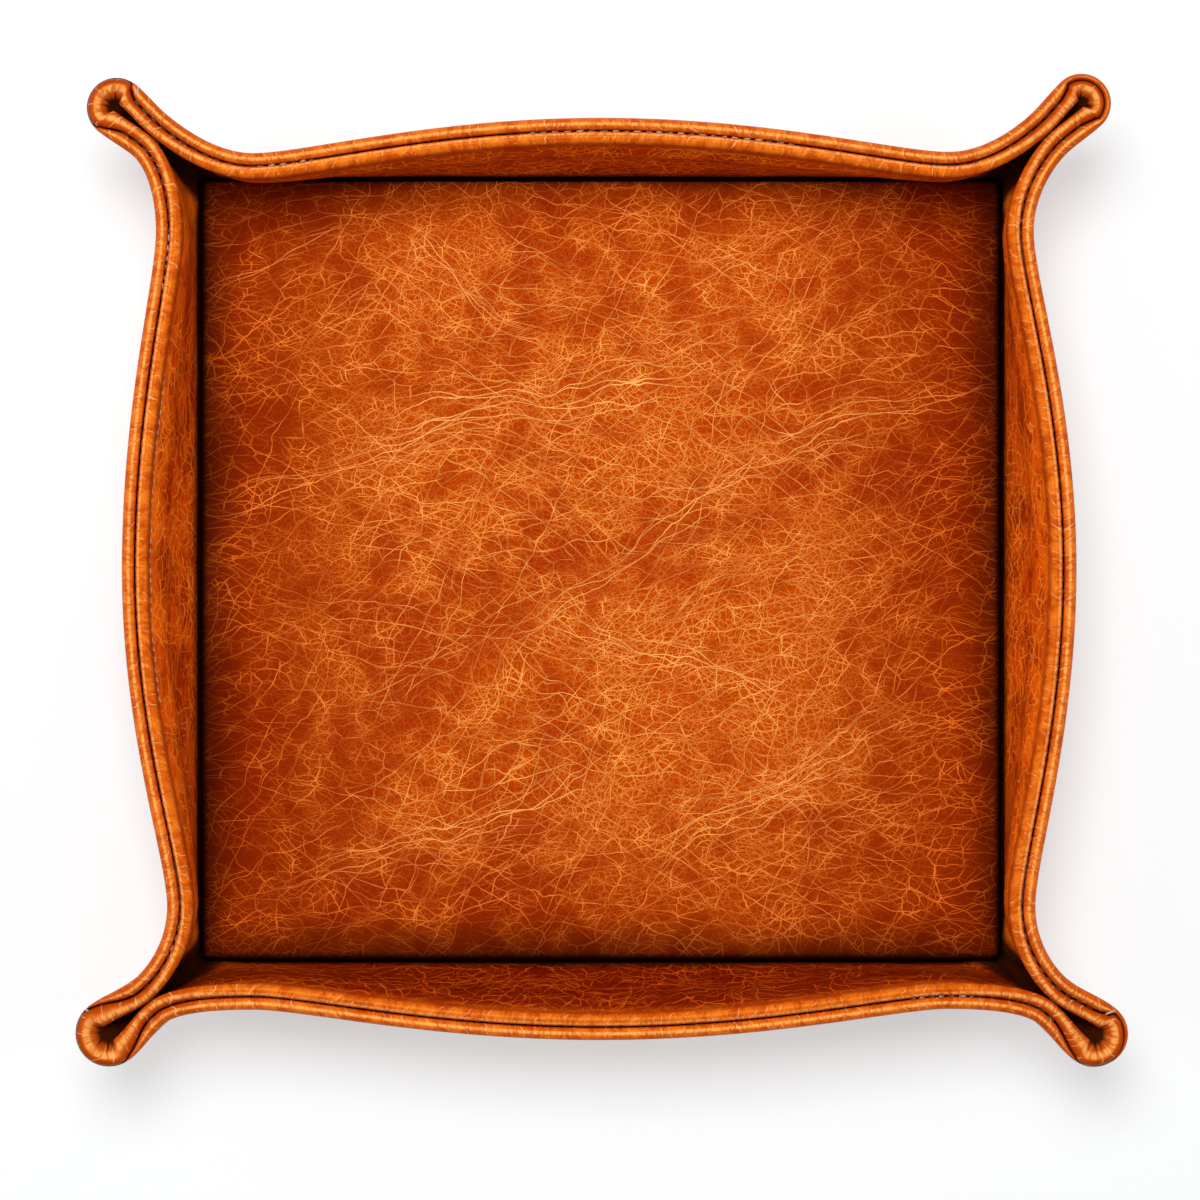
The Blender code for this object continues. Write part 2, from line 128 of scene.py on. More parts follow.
# How far the seam's channel is drawn in, half its width, and its points across
CHANNEL_INSIDE = 0.00010
CHANNEL_SHOWN = 0.00025
CHANNEL_OUTSIDE = 0.00035
CHANNEL_HALF_WIDTH = 0.0006
CHANNEL_POINTS = 7

# A wall leather's points up its face and over its roll, the roll's first and last angle in
# degrees, the leather's thickness there, and where its hidden side starts, as a share of height
FACE_POINTS = 16
ROLL_POINTS = 30
ROLL_FOOT = -80
ROLL_END = 225
SKIVED_THICKNESS = 0.0006
HIDDEN_START = 0.7

# The rim's plan line, measured outwards from the floor panel's edge
NECK_DISTANCE = 0.0153
EAR_START = 0.0125
EAR_HALF = 0.0033
EAR_PINCH = 0.0009
NECK_PULL = 0.15
BELLY_PULL = 0.49
THROAT_SIDE_PULL = 0.0100
THROAT_EAR_PULL = 0.0050

# Each side: its outward direction, and how far its two necks and its belly stand out
SIDES = (
    ((1, 0), 0.0025, 0.0124, 0.0021),
    ((0, 1), 0.0008, 0.0090, 0.0005),
    ((-1, 0), 0.0050, 0.0132, 0.0023),
    ((0, -1), 0.0065, 0.0138, 0.0063),
)

# The ear after each side: its loop's centre across and along and its radius. Then, on its
# first and on its second side, how far the groove runs out to the edge, and from which step
EARS = (
    ("back_right", 0.0167, 0.0156, 0.0040, (0.00150, 3.55), (0.00150, 3.65)),
    ("back_left", 0.0177, 0.0147, 0.0041, (0.00270, 3.70), (0.00270, 3.45)),
    ("front_left", 0.0195, 0.0153, 0.0050, (0.00275, 3.10), (0.00275, 3.20)),
    ("front_right", 0.0199, 0.0155, 0.0049, (0.00275, 3.20), (0.00195, 3.70)),
)

# Stations of each part of the rim. An ear is 14 steps long: throat, side, loop, side, throat
SIDE_STATIONS = 120
THROAT_STATIONS = 26
EAR_SIDE_STATIONS = 22
LOOP_STATIONS = 72
THROAT_STEPS = 3
LOOP_STEPS = 6
EAR_STEPS = 2 * (THROAT_STEPS + 1) + LOOP_STEPS

# How high up the walls start to pinch together in an ear
PINCH_LOW = 0.004

# How an ear changes, in steps from its neck: where its walls pinch together and part again,
# where its rolls darken and its inner walls take painted light, and where the painted shade of
# its throat grows. The funnel and the groove's end count from the end of the throat
PINCH_START = (1.0, 1.4)
PINCH_END = (3.2, 0.9)
EAR_SHADE = (0.0, 2.5)
THROAT_SHADE = (1.8, 1.0)
FUNNEL_START = (0.85, 0.75)
GROOVE_END = 1.25

# How far below the rim the painted shade of a throat and of a funnel grows, the funnel by
# shares of its depth, and where the funnel's painted shade ends again
THROAT_DARK = (0.0006, 0.0026)
FUNNEL_DARK = (0.0, 0.75)
FUNNEL_DARK_END = 2.5

# The pleats of a gathered tip: how many to half a turn, and how far they turn on from one ear to
# the next
PLEATS = 5.0
PLEATS_TURNED_ON = 1.7

# How the rolls change as the groove shifts: the shift at which they are slimmest and by how
# much, where the groove closes and shuts, and how far the outer roll drops
FULL_SHIFT = 0.0022
ROLL_SLIMS = 0.30
GROOVE_CLOSES = (0.0006, 0.0014)
GROOVE_SHUTS = (0.0020, 0.0006)
SHIFTED_DROP = 0.0004
SHUT_DROP = 0.0014

# Stitches across the roll at an ear's tip: ear, step, slant, and the offsets of its two ends
TIP_STITCHES = (
    (1, 3.80, 0.05, 0.0010, 0.0021),
    (1, 3.84, 0.05, 0.0020, 0.0030),
    (2, 4.10, 0.05, 0.0021, 0.0031),
    (3, 10.10, -0.22, 0.0004, 0.0028),
)

# Where the stitches of the groove and of the seam ride high enough to be seen: side or ear,
# and the stretch along it. A side runs from 0 to 1, and an ear from 1 to 2. Then how long the
# soft end of a stretch is
SHOWN_IN_GROOVE = ((1, 0.28, 0.58), (1, 0.86, 1.00), (2, 0.00, 0.15), (2, 1.03, 1.10),
                   (3, 0.90, 1.05))
SHOWN_IN_SEAM = ((2, 0.26, 0.66),)
SHOWN_EDGE = 0.01

# Shades of the leather, linear. The floor's first, then the walls' and the rolls'. Among them
# are painted shade and light: the floor's edge shade and its crackle, the walls' painted light,
# the front and back walls' shades and lines, the ears' folds, the rolls' shaded sides and the
# painted highlight of their crest
FLOOR_SHADES = SimpleNamespace(
    edge=(0.200, 0.0100, 0.0001), haze=(0.70, 0.115, 0.003), pores=(0.22, 0.012, 0.0002),
    crackle_in_edge_shade=(0.92, 0.150, 0.006), bold_crackle=(1.0, 0.50, 0.17),
    sheen=(1.0, 0.50, 0.15))
WALL_SHADES = SimpleNamespace(
    deep=(0.34, 0.020, 0.0002), upper=(0.86, 0.150, 0.005), lines=(0.97, 0.28, 0.022),
    front=(0.12, 0.0026, 0.0001), front_lines_in_shade=(0.54, 0.055, 0.0020),
    back=(0.40, 0.0120, 0.0001), back_lines_in_light=(1.0, 0.27, 0.010), sheen=(1.0, 0.45, 0.08),
    folds=(0.020, 0.0010, 0.0))
ROLL_SHADES = SimpleNamespace(
    mottle=(0.52, 0.064, 0.0009), shaded=(0.32, 0.022, 0.0003), in_ear=(0.47, 0.055, 0.0009),
    crest=(1.0, 0.41, 0.10), nicks=(0.97, 0.48, 0.17), closed=(0.52, 0.075, 0.0015))
SOILED_THREAD = (0.30, 0.21, 0.13)

# The materials inside the tray: name, two shades, scale, roughness and relief of the fibres,
# and how the names of their solids start
FILLINGS = (
    ("grey_board", (0.36, 0.31, 0.24), (0.24, 0.21, 0.17), 600, 0.8, 0.0002,
     ("base_board", "floor_panel_board")),
    ("stiffener_board", (0.38, 0.30, 0.20), (0.26, 0.20, 0.13), 450, 0.8, 0.0002,
     ("wall_stiffener",)),
    ("padding_felt", (0.30, 0.29, 0.27), (0.20, 0.19, 0.18), 900, 0.9, 0.0004,
     ("wall_padding",)),
)
CORD_FIBRES = ((0.70, 0.66, 0.56), (0.52, 0.48, 0.40), 900, 0.85, 0.0002)

# Each lamp: its place, size, setting of its power and share of that power
LAMPS = {
    "key lamp": ((-0.13, 0.46, 1.25), 0.68, "key_power", 1.0),
    "left fill": ((-1.20, 0.05, 0.70), 0.60, "fill_power", 1.0),
    "right fill": ((1.20, 0.05, 0.70), 0.60, "fill_power", 0.9),
}
CAMERA_PLACE = (-0.0002, -0.00747)
SENSOR_WIDTH = 36
PAPER_HALF = 3.0
PAPER_LEVEL = -0.00005


def length_value(name, description, default):
    """Return a property for a length in metres."""
    return number_value(name, description, default, precision=5, unit="LENGTH")


def number_value(name, description, default, **limits):
    """Return a property for a number of at least 0."""
    return bpy.props.FloatProperty(name=name, description=description, default=default,
                                   min=0, **limits)


def colour_value(name, description, default):
    """Return a property for a linear colour."""
    return bpy.props.FloatVectorProperty(name=name, description=description, default=default,
                                         size=3, min=0, max=1, subtype="COLOR")


class TraySizes(bpy.types.PropertyGroup):
    """Sizes of the tray's leather."""

    floor_width: length_value("Floor width", "Floor panel from left to right",
                              PANEL_HIGH.x - PANEL_LOW.x)
    floor_depth: length_value("Floor depth", "Floor panel from front to back",
                              PANEL_HIGH.y - PANEL_LOW.y)
    tray_height: length_value("Tray height", "Top of the rim above the table", TRAY_HIGH)
    crease_width: length_value("Crease width", "Gap round the floor panel", 0.0011)
    roll_radius: length_value("Roll radius", "Radius of the two rolls of the rim", 0.0015)
    cover_thickness: length_value("Outer leather", "Thickness of the outer leather", 0.0012)
    lining_thickness: length_value("Lining", "Thickness of the lining leather", 0.0010)
    seam_drop: length_value("Seam drop", "Line of stitching below the top of the rim", 0.0036)
    funnel_depth: length_value("Funnel depth", "How deep the gathered tip of an ear goes",
                               0.0046)
    pleat_depth: length_value("Pleat depth", "Depth of the pleats in an ear's tip", 0.0007)


class LeatherColours(bpy.types.PropertyGroup):
    """Colours of the leather."""

    ground: colour_value("Ground", "Burnt orange of the floor", (0.58, 0.074, 0.0008))
    deep: colour_value("Deep", "Darker clouds of the floor", (0.43, 0.038, 0.0004))
    wall: colour_value("Wall", "Walls inside and outside", (0.66, 0.070, 0.0008))
    crackle: colour_value("Crackle", "Pale lines where the leather has creased",
                          (0.95, 0.38, 0.075))
    rolled: colour_value("Rolled", "Leather stretched over the rolls", (0.80, 0.170, 0.010))
    # Painted shade for the crease round the floor panel, the panel's edge, the groove and the
    # lining's foot
    painted_shade: colour_value("Painted_shade_colour", "Dark edges and folds", (0.008, 0.0004, 0.00003))


class ThreadSizes(bpy.types.PropertyGroup):
    """Sizes and colour of the stitches."""

    diameter: length_value("Thread", "Thickness of the waxed thread", 0.00040)
    groove_pitch: length_value("Groove pitch", "Stitch pitch between the rolls", 0.0030)
    groove_length: length_value("Groove stitch", "Length of a stitch in the groove", 0.0019)
    seam_pitch: length_value("Seam pitch", "Stitch pitch of the seam below", 0.0024)
    seam_length: length_value("Seam stitch", "Length of a stitch of that seam", 0.0014)
    seam_width: length_value("Seam thread", "Width of a stitch of that seam", 0.00032)
    colour: colour_value("Groove thread", "Pale grey waxed thread", (0.56, 0.46, 0.38))
    seam_colour: colour_value("Seam thread colour", "Cream waxed thread", (0.78, 0.50, 0.27))


class StageSettings(bpy.types.PropertyGroup):
    """Camera, paper and lamps."""

    camera_height: length_value("Camera height", "Camera above the table", 0.909)
    lens: number_value("Lens", "Focal length in millimetres", 109.2)
    key_power: number_value("Key lamp", "Power of the key lamp", 15.2, unit="POWER")
    fill_power: number_value("Fill lamps", "Power of each fill", 3.4, unit="POWER")
    surround: number_value("Surround", "Light from all round", 0.24)
    whiteness: number_value("Whiteness", "How far the camera sees plain white", 0.50, max=1)
    paper: colour_value("Paper", "The white surface that the tray stands on",
                        (0.920, 0.955, 0.960))


class CoinTray(bpy.types.PropertyGroup):
    """Everything that can be set for the coin tray."""

    sizes: bpy.props.PointerProperty(type=TraySizes)
    colours: bpy.props.PointerProperty(type=LeatherColours)
    threads: bpy.props.PointerProperty(type=ThreadSizes)
    stage: bpy.props.PointerProperty(type=StageSettings)


def smooth(value, start=0.0, length=1.0):
    """Return a soft step from 0 at a start to 1 a length further on."""
    share = np.clip((value - start) / length, 0, 1)
    return share * share * (3 - 2 * share)


def quarter_turn(vector):
    """Return a plan vector turned a quarter turn anticlockwise."""
    return np.array((-vector[1], vector[0]))


def shares(count):
    """Return that many even steps from 0, with 1 left out, as a column."""
    return (np.arange(count) / count)[:, None]


def cubic(start, start_pull, end_pull, end, count):
    """Return points of a cubic curve, its start included and its end left out."""
    u = shares(count)
    v = 1 - u
    return (v ** 3 * start + 3 * v * v * u * start_pull + 3 * v * u * u * end_pull
            + u ** 3 * end)


def half_floor(vector, sizes):
    """Return half the floor panel's size along a plan axis."""
    return (sizes.floor_width if vector[0] else sizes.floor_depth) / 2


def side_frame(index, sizes):
    """Return a side's outward direction, its distance and its reach from middle to neck."""
    outward = np.array(SIDES[index % len(SIDES)][0])
    along = quarter_turn(outward)
    reach = along * (half_floor(along, sizes) - NECK_DISTANCE)
    return outward, half_floor(outward, sizes), reach


def side_necks(index, sizes):
    """Return a side's two necks at the rim, and its belly between them."""
    neck_before, belly, neck_after = SIDES[index % len(SIDES)][1:]
    outward, half, reach = side_frame(index, sizes)
    return (outward * (half + neck_before) - reach, outward * (half + belly),
            outward * (half + neck_after) + reach)


def side_curve(index, sizes):
    """Return the rim's plan line along one side."""
    before, belly, after = side_necks(index, sizes)
    reach = side_frame(index, sizes)[2]
    neck_pull = reach * NECK_PULL
    belly_pull = reach * BELLY_PULL
    half = SIDE_STATIONS // 2
    return np.vstack((cubic(before, before + neck_pull, belly - belly_pull, belly, half),
                      cubic(belly, belly + belly_pull, after - neck_pull, after, half)))


def ear_sides(index):
    """Return the outward directions of the sides before and after an ear."""
    return np.array(SIDES[index][0]), np.array(SIDES[(index + 1) % len(SIDES)][0])


def ear_frame(index, sizes):
    """Return an ear's corner of the floor, its two directions and its length."""
    first, second = ear_sides(index)
    across, along = EARS[index][1:3] if first[0] else EARS[index][2:0:-1]
    corner = first * half_floor(first, sizes) + second * half_floor(second, sizes)
    reach = first * across + second * along
    length = np.hypot(*reach)
    direction = reach / length
    return corner, direction, -quarter_turn(direction), length


def ear_flank(index, share, sizes):
    """Return points of an ear's middle and of its half width, at shares of its length."""
    corner, direction, sideways, length = ear_frame(index, sizes)
    distance = EAR_START + (length - EAR_START) * share
    half = EAR_HALF + (EARS[index][3] - EAR_HALF) * smooth(share)
    return corner + direction * distance, sideways * half


def ear_curve(index, sizes):
    """Return the rim's plan line round one ear, from neck to neck."""
    corner, direction, sideways, length = ear_frame(index, sizes)
    before = side_necks(index, sizes)[2]
    after = side_necks(index + 1, sizes)[0]
    side_pull, following = [quarter_turn(side) * THROAT_SIDE_PULL for side in ear_sides(index)]
    ear_pull = -direction * THROAT_EAR_PULL
    root, root_half = ear_flank(index, 0, sizes)
    out, out_half = ear_flank(index, shares(EAR_SIDE_STATIONS), sizes)
    back, back_half = ear_flank(index, 1 - shares(EAR_SIDE_STATIONS), sizes)
    angle = math.pi * shares(LOOP_STATIONS)
    radius = EARS[index][3]
    loop = (corner + direction * length + sideways * radius * np.cos(angle)
            + direction * radius * np.sin(angle))
    start = root + root_half
    end = root - root_half
    return np.vstack((
        cubic(before, before + side_pull, start + ear_pull, start, THROAT_STATIONS),
        out + out_half, loop, back - back_half,
        cubic(end, end + ear_pull, after - following, after, THROAT_STATIONS)))


def ear_steps():
    """Return where each station of an ear lies on the ear's steps."""
    parts = ((THROAT_STATIONS, THROAT_STEPS), (EAR_SIDE_STATIONS, 1),
             (LOOP_STATIONS, LOOP_STEPS), (EAR_SIDE_STATIONS, 1),
             (THROAT_STATIONS, THROAT_STEPS))
    steps = []
    start = 0
    for count, length in parts:
        steps.append(start + shares(count)[:, 0] * length)
        start += length
    return np.concatenate(steps)


def rectangle_corner(index, steps, outset, radius, sizes):
    """Return points round a corner of a rectangle that lies an outset beyond the floor."""
    first, second = ear_sides(index)
    centre = (first * (half_floor(first, sizes) + outset - radius)
              + second * (half_floor(second, sizes) + outset - radius))
    share = (2 * steps / EAR_STEPS - 1)[:, None]
    share = np.sign(share) * np.abs(share) ** CORNER_SPREAD
    half_arc = radius * math.pi / 4
    distance = np.abs(share) * (NECK_DISTANCE + outset - radius + half_arc)
    angle = math.pi / 4 + np.minimum(distance, half_arc) / radius
    straight = np.maximum(distance - half_arc, 0)
    near = np.where(share < 0, first, second)
    far = np.where(share < 0, second, first)
    return centre + near * radius * np.sin(angle) + far * (radius * np.cos(angle) - straight)


def rectangle_line(outset, radius, sizes):
    """Return a rounded rectangle that lies an outset beyond the floor, station by station."""
    parts = []
    steps = ear_steps()
    for index in range(len(SIDES)):
        outward, half, reach = side_frame(index, sizes)
        parts.append(outward * (half + outset) + reach * (2 * shares(SIDE_STATIONS) - 1))
        parts.append(rectangle_corner(index, steps, outset, radius, sizes))
    return np.vstack(parts)


def per_station(side_value, ear_values):
    """Return a column with one value at the sides' stations and given values at each ear's."""
    side = np.full(SIDE_STATIONS, float(side_value))
    return np.concatenate([np.concatenate((side, values)) for values in ear_values])[:, None]


def shown_stations(stretches):
    """Return 1 at the stations of the given stretches and 0 elsewhere, softly joined."""
    side = np.arange(SIDE_STATIONS) / SIDE_STATIONS
    along = np.concatenate((side, 1 + ear_steps() / EAR_STEPS))
    parts = []
    for index in range(len(SIDES)):
        shown = np.zeros(len(along))
        for number, start, end in stretches:
            if number == index:
                inside = (smooth(along, start, SHOWN_EDGE)
                          * smooth(end - along, 0.0, SHOWN_EDGE))
                shown = np.maximum(shown, inside)
        parts.append(shown)
    return np.concatenate(parts)[:, None]


def uneven(line, scale, seed):
    """Return a column of soft values between about -1 and 1 for points of a plan line."""
    return np.array([[noise.noise(Vector((x * scale, y * scale, seed)))] for x, y in line])


def groove_shift(steps, first, second):
    """Return how far the groove runs out towards the edge at each station of an ear."""
    end = THROAT_STEPS + GROOVE_END
    leaving = first[0] * smooth(steps, first[1], end - first[1])
    joining = second[0] * smooth(EAR_STEPS - steps, second[1], end - second[1])
    share = smooth(steps, end, EAR_STEPS - 2 * end)
    return leaving * (1 - share) + joining * share


def rim_stations(sizes):
    """Return all that the leathers need to know at each station round the rim."""
    steps = ear_steps()
    rim = np.vstack([part for index in range(len(SIDES))
                     for part in (side_curve(index, sizes), ear_curve(index, sizes))])
    chord = np.linalg.norm(np.roll(rim, -1, 0) - rim, axis=1)
    from_neck = np.minimum(steps, EAR_STEPS - steps)
    pinch = smooth(from_neck, *PINCH_START) * (1 - smooth(from_neck, *PINCH_END))
    padded = np.clip(1 - from_neck / THROAT_STEPS, 0, 1)
    funnel = smooth(from_neck - THROAT_STEPS, *FUNNEL_START)
    turn = np.clip((steps - THROAT_STEPS - 1) / LOOP_STEPS, -0.1, 1.1) * math.pi
    fold_outset = sizes.crease_width + CORE_HALF + sizes.lining_thickness + PADDED_EXTRA
    return SimpleNamespace(
        rim=rim,
        fold=rectangle_line(fold_outset, CORNER_RADIUS, sizes),
        flange=rectangle_line(-FLANGE_INSET, FLANGE_CORNER_RADIUS, sizes),
        length=np.concatenate(((0,), np.cumsum(chord))),
        from_neck=per_station(-1, [from_neck] * len(EARS)),
        padded=per_station(1, [padded] * len(EARS)),
        shift=per_station(0, [groove_shift(steps, *ear[4:]) for ear in EARS]),
        pinch=per_station(0, [pinch] * len(EARS)),
        funnel=per_station(0, [funnel] * len(EARS)),
        turn=per_station(0, [turn + PLEATS_TURNED_ON * number
                             for number in range(len(EARS))]),
        radius=per_station(EARS[0][3], [np.full(len(steps), ear[3]) for ear in EARS]),
        sway=uneven(rim, 45, 7.0))


def at_sections(stations, offsets, heights, sizes, knee=FOLD_HEIGHT):
    """Return points from offsets and heights. A wall stands upright below its knee."""
    roll_bottom = sizes.tray_height - 2 * sizes.roll_radius
    above = heights - knee
    softness = KNEE_SOFTNESS * (knee - FOLD_HEIGHT)
    above = (above + np.sqrt(above ** 2 + softness ** 2)) / 2
    rise = np.clip(above / (roll_bottom - knee), 0, 1)[..., None]

    def blended(by):
        fold = np.roll(stations.fold, by, 0)[:, None]
        rim = np.roll(stations.rim, by, 0)[:, None]
        return fold + (rim - fold) * rise

    tangent = blended(-1) - blended(1)
    tangent /= np.linalg.norm(tangent, axis=2, keepdims=True)
    outward = np.stack((tangent[..., 1], -tangent[..., 0]), axis=2)
    level = np.clip((heights - PINCH_LOW) / (roll_bottom - PINCH_LOW), 0, 1)
    pinched = offsets - EAR_PINCH * stations.pinch * np.sin(math.pi * level)
    plan = blended(0) + outward * pinched[..., None]
    return np.concatenate((plan, heights[..., None]), axis=2)


def rim_points(stations, offset, height, sizes, knee=FOLD_HEIGHT):
    """Return one point for each station, at one offset and height or one for each."""
    shape = (len(stations.rim), 1)
    return at_sections(stations, np.broadcast_to(offset, shape),
                       np.broadcast_to(height, shape), sizes, knee)[:, 0]


def columns(*parts):
    """Join columns of values, each one number or one value a station, into one array."""
    count = (SIDE_STATIONS + len(ear_steps())) * len(SIDES)
    return np.hstack([np.broadcast_to(part, (count, np.shape(part)[-1])) for part in parts])


def roll_outline(sizes, shift, foot, top):
    """Return a roll's outline from its foot, over its crest and down into the groove."""
    half_width = (EAR_HALF - CLEARANCE / 2 - (shift + CLEARANCE / 2)) / 2
    centre = EAR_HALF - CLEARANCE / 2 - half_width
    slimmer = np.clip(shift / FULL_SHIFT, -0.35, 1)
    half_height = sizes.roll_radius * (1 - ROLL_SLIMS * slimmer)
    level = top - half_height
    turn = np.linspace(0, 1, ROLL_POINTS)[None]
    angle = foot + (math.radians(ROLL_END) - foot) * turn
    offset = centre + half_width * np.cos(angle)
    height = level + half_height * np.sin(angle)
    return offset, height, angle


def pleats(stations):
    """Return how deep the gathered leather lies at each station. No two pleats are the same."""
    angle = stations.turn
    angle = angle + 0.16 * np.sin(3.1 * angle) + 0.09 * np.sin(7.3 * angle)
    fold = 1 - np.abs(np.sin(PLEATS * angle))
    depth = 0.62 + 0.38 * np.sin(2.3 * angle + 1.0)
    return fold ** 2.2 * depth


def funnel_outline(stations, sizes, angle):
    """Return the outline of the lining where an ear's tip gathers into a funnel."""
    down = np.clip((math.pi / 2 - angle) / math.radians(90 - ROLL_FOOT), 0, 1)
    groove = np.clip((angle - math.pi / 2) / math.radians(ROLL_END - 90), 0, 1)
    crest = 0.0009 - 0.7 * stations.shift
    hole = stations.radius + 0.0002
    edge = 0.00015 - stations.shift - 0.00022 * closing(stations)
    offset = crest + (hole - crest) * down ** 0.85 + (edge - crest) * np.sin(
        groove * math.pi / 2)
    fall = sizes.funnel_depth * down ** 1.45 + 0.0016 * groove ** 2
    fall = fall + sizes.pleat_depth * pleats(stations) * np.sin(
        math.pi * np.clip(down, 0, 0.9) / 1.3) * 1.3
    return offset, sizes.tray_height - fall


def thickness_inside(offset, height, thickness):
    """Return the far face of a leather, a thickness in from an outline."""
    across = np.gradient(offset, axis=1)
    up = np.gradient(height, axis=1)
    size = np.hypot(across, up) + 1e-12
    offset = offset - up / size * thickness
    height = height + across / size * thickness
    return offset[:, ::-1], height[:, ::-1]


def channel(sizes, depth):
    """Return levels and depths of the shallow channel that the seam's stitches lie in."""
    turn = np.linspace(-1, 1, CHANNEL_POINTS)[None]
    level = sizes.tray_height - sizes.seam_drop
    return level + CHANNEL_HALF_WIDTH * turn, depth * np.cos(turn * math.pi / 2)


def rolled_leather(stations, sizes, face, shift, foot, top, low, inside):
    """Return a wall leather's section: up its face, over its roll and down its back."""
    span = sizes.tray_height - sizes.seam_drop
    rising = np.linspace(low, span - CHANNEL_HALF_WIDTH, FACE_POINTS)[None, :-1]
    drawn_in = CHANNEL_OUTSIDE
    if inside:
        drawn_in = CHANNEL_INSIDE + CHANNEL_SHOWN * shown_stations(SHOWN_IN_SEAM)
    channel_level, channel_depth = channel(sizes, drawn_in)
    roll_offset, roll_height, angle = roll_outline(sizes, shift, foot, top)
    if inside:
        offset, height = funnel_outline(stations, sizes, angle)
        roll_offset = roll_offset + (offset - roll_offset) * stations.funnel
        roll_height = roll_height + (height - roll_height) * stations.funnel
    wall_height = columns(rising, channel_level)
    wall_offset = face - columns(np.zeros_like(rising), channel_depth)
    bulge = np.sin(math.pi * np.clip(wall_height / span, 0, 1))
    wall_offset = wall_offset + (WALL_BULGE + WALL_SWAY * stations.sway) * bulge
    flare = smooth(wall_height, 0.6 * span, 0.4 * span)
    own_foot = sizes.roll_radius * (1 + math.cos(math.radians(ROLL_FOOT))) + CLEARANCE / 2
    wall_offset = wall_offset + (roll_offset[:, :1] - own_foot) * flare * (stations.shift > 0)
    lowered = low + (wall_height - low) * (roll_height[:, :1] - 0.0003 - low) / (
        wall_height[:, -1:] - low)
    wall_height = np.where(roll_height[:, :1] < wall_height[:, -1:], lowered, wall_height)
    skived = np.minimum(SKIVED_THICKNESS, np.ptp(roll_offset, axis=1, keepdims=True) * 0.28)
    back_offset, back_height = thickness_inside(roll_offset, roll_height, skived)
    hidden = np.r_[0:ROLL_POINTS:2, ROLL_POINTS - 1]
    return (columns(wall_offset, roll_offset, back_offset[:, hidden]),
            columns(wall_height, roll_height, back_height[:, hidden]),
            len(rising[0]) + CHANNEL_POINTS)


def build_skin(name, points, lengths, section_lengths, closed, **shades):
    """Make a leather skin from its grid of points, with its lengths as texture coordinates."""
    count, rows = points.shape[:2]
    points = np.vstack((points, points[:1]))
    if closed:
        points = np.concatenate((points, points[:, :1]), axis=1)
        section_lengths = np.append(section_lengths, section_lengths[-1] + 0.001)
        rows += 1
    grid = bmesh.new()
    bmesh.ops.create_grid(grid, x_segments=count, y_segments=rows - 1, size=1)
    mesh = bpy.data.meshes.new(name)
    grid.to_mesh(mesh)
    place = np.zeros(len(mesh.vertices) * 3)
    mesh.vertices.foreach_get("co", place)
    place = place.reshape(-1, 3)[:, :2]
    low, high = place.min(0), place.max(0)
    station, row = np.rint((place - low) / (high - low) * (count, rows - 1)).astype(int).T
    mesh.vertices.foreach_set("co", points[station, row].ravel())
    loop_verts = np.zeros(len(mesh.loops), dtype=int)
    mesh.loops.foreach_get("vertex_index", loop_verts)
    coordinates = np.stack((lengths[station], section_lengths[row]), axis=1)[loop_verts]
    mesh.uv_layers.new(name="Lengths").data.foreach_set("uv", coordinates.ravel())
    for label, shade in shades.items():
        layer = mesh.attributes.new(label, "FLOAT", "POINT")
        layer.data.foreach_set("value", shade[station % count, row % shade.shape[1]])
    grid.clear()
    grid.from_mesh(mesh)
    bmesh.ops.remove_doubles(grid, verts=grid.verts, dist=1e-7)
    rims = [edge for edge in grid.edges if edge.is_boundary]
    for edge in rims:
        edge.smooth = False
    layer = grid.loops.layers.uv.active
    for face in bmesh.ops.holes_fill(grid, edges=rims, sides=0)["faces"]:
        for loop in face.loops:
            loop[layer].uv = loop.vert.co.x, loop.vert.co.y - FLAT_FROM_CREST
    return finish_piece(name, grid, mesh)


def finish_piece(name, made, mesh=None):
    """Turn a bmesh into a piece that faces outwards and rides on the tray."""
    bmesh.ops.recalc_face_normals(made, faces=made.faces)
    mesh = mesh or bpy.data.meshes.new(name)
    made.to_mesh(mesh)
    made.free()
    for polygon in mesh.polygons:
        polygon.use_smooth = True
    piece = bpy.data.objects.new(name, mesh)
    bpy.context.collection.objects.link(piece)
    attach(piece, "root")
    return piece


def dress(piece, surface, slot, *nodes):
    """Give a piece its material and let it stand for its solids. Its record slot is not used."""
    piece.data.materials.append(surface)
    if nodes:
        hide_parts(*nodes)


def wall_skin(name, stations, points, wall, closed, **shades):
    """Make a wall leather's skin. Its lengths start at the crest, on the first side's middle."""
    steps = np.linalg.norm(np.diff(points[SIDE_STATIONS // 2], axis=0), axis=1)
    total = np.concatenate(((0,), np.cumsum(steps)))
    crest = wall + int(np.argmax(points[0, wall:wall + ROLL_POINTS, 2]))
    return build_skin(name, points, stations.length, total - total[crest], closed,
                      closed_groove=closing(stations), ear=in_ear(stations), **shades)


def outer_leather(stations, sizes):
    """Make the outer leather: underside, outer walls and outer roll."""
    face = CORE_HALF + sizes.cover_thickness
    turn = np.linspace(-math.pi / 2, 0, 6)[None, :-1]
    radius = UNDERSIDE_EDGE_RADIUS
    round_offset = face - radius + radius * np.cos(turn)
    round_height = radius + radius * np.sin(turn)
    top = (sizes.tray_height - SHIFTED_DROP * np.clip(stations.shift / FULL_SHIFT, 0, 1)
           - SHUT_DROP * shut(stations))
    offset, height, wall = rolled_leather(stations, sizes, face, stations.shift,
                                          math.radians(ROLL_FOOT), top, radius, False)
    back = np.full((1, 3), CORE_HALF)
    low = np.array(((sizes.tray_height * HIDDEN_START, FOLD_HEIGHT * 2,
                     sizes.cover_thickness),))
    offset = columns(round_offset, offset, back)
    height = columns(round_height, height, low)
    points = at_sections(stations, offset, height, sizes)
    return wall_skin("outer_leather", stations, points, round_offset.shape[1] + wall, False)


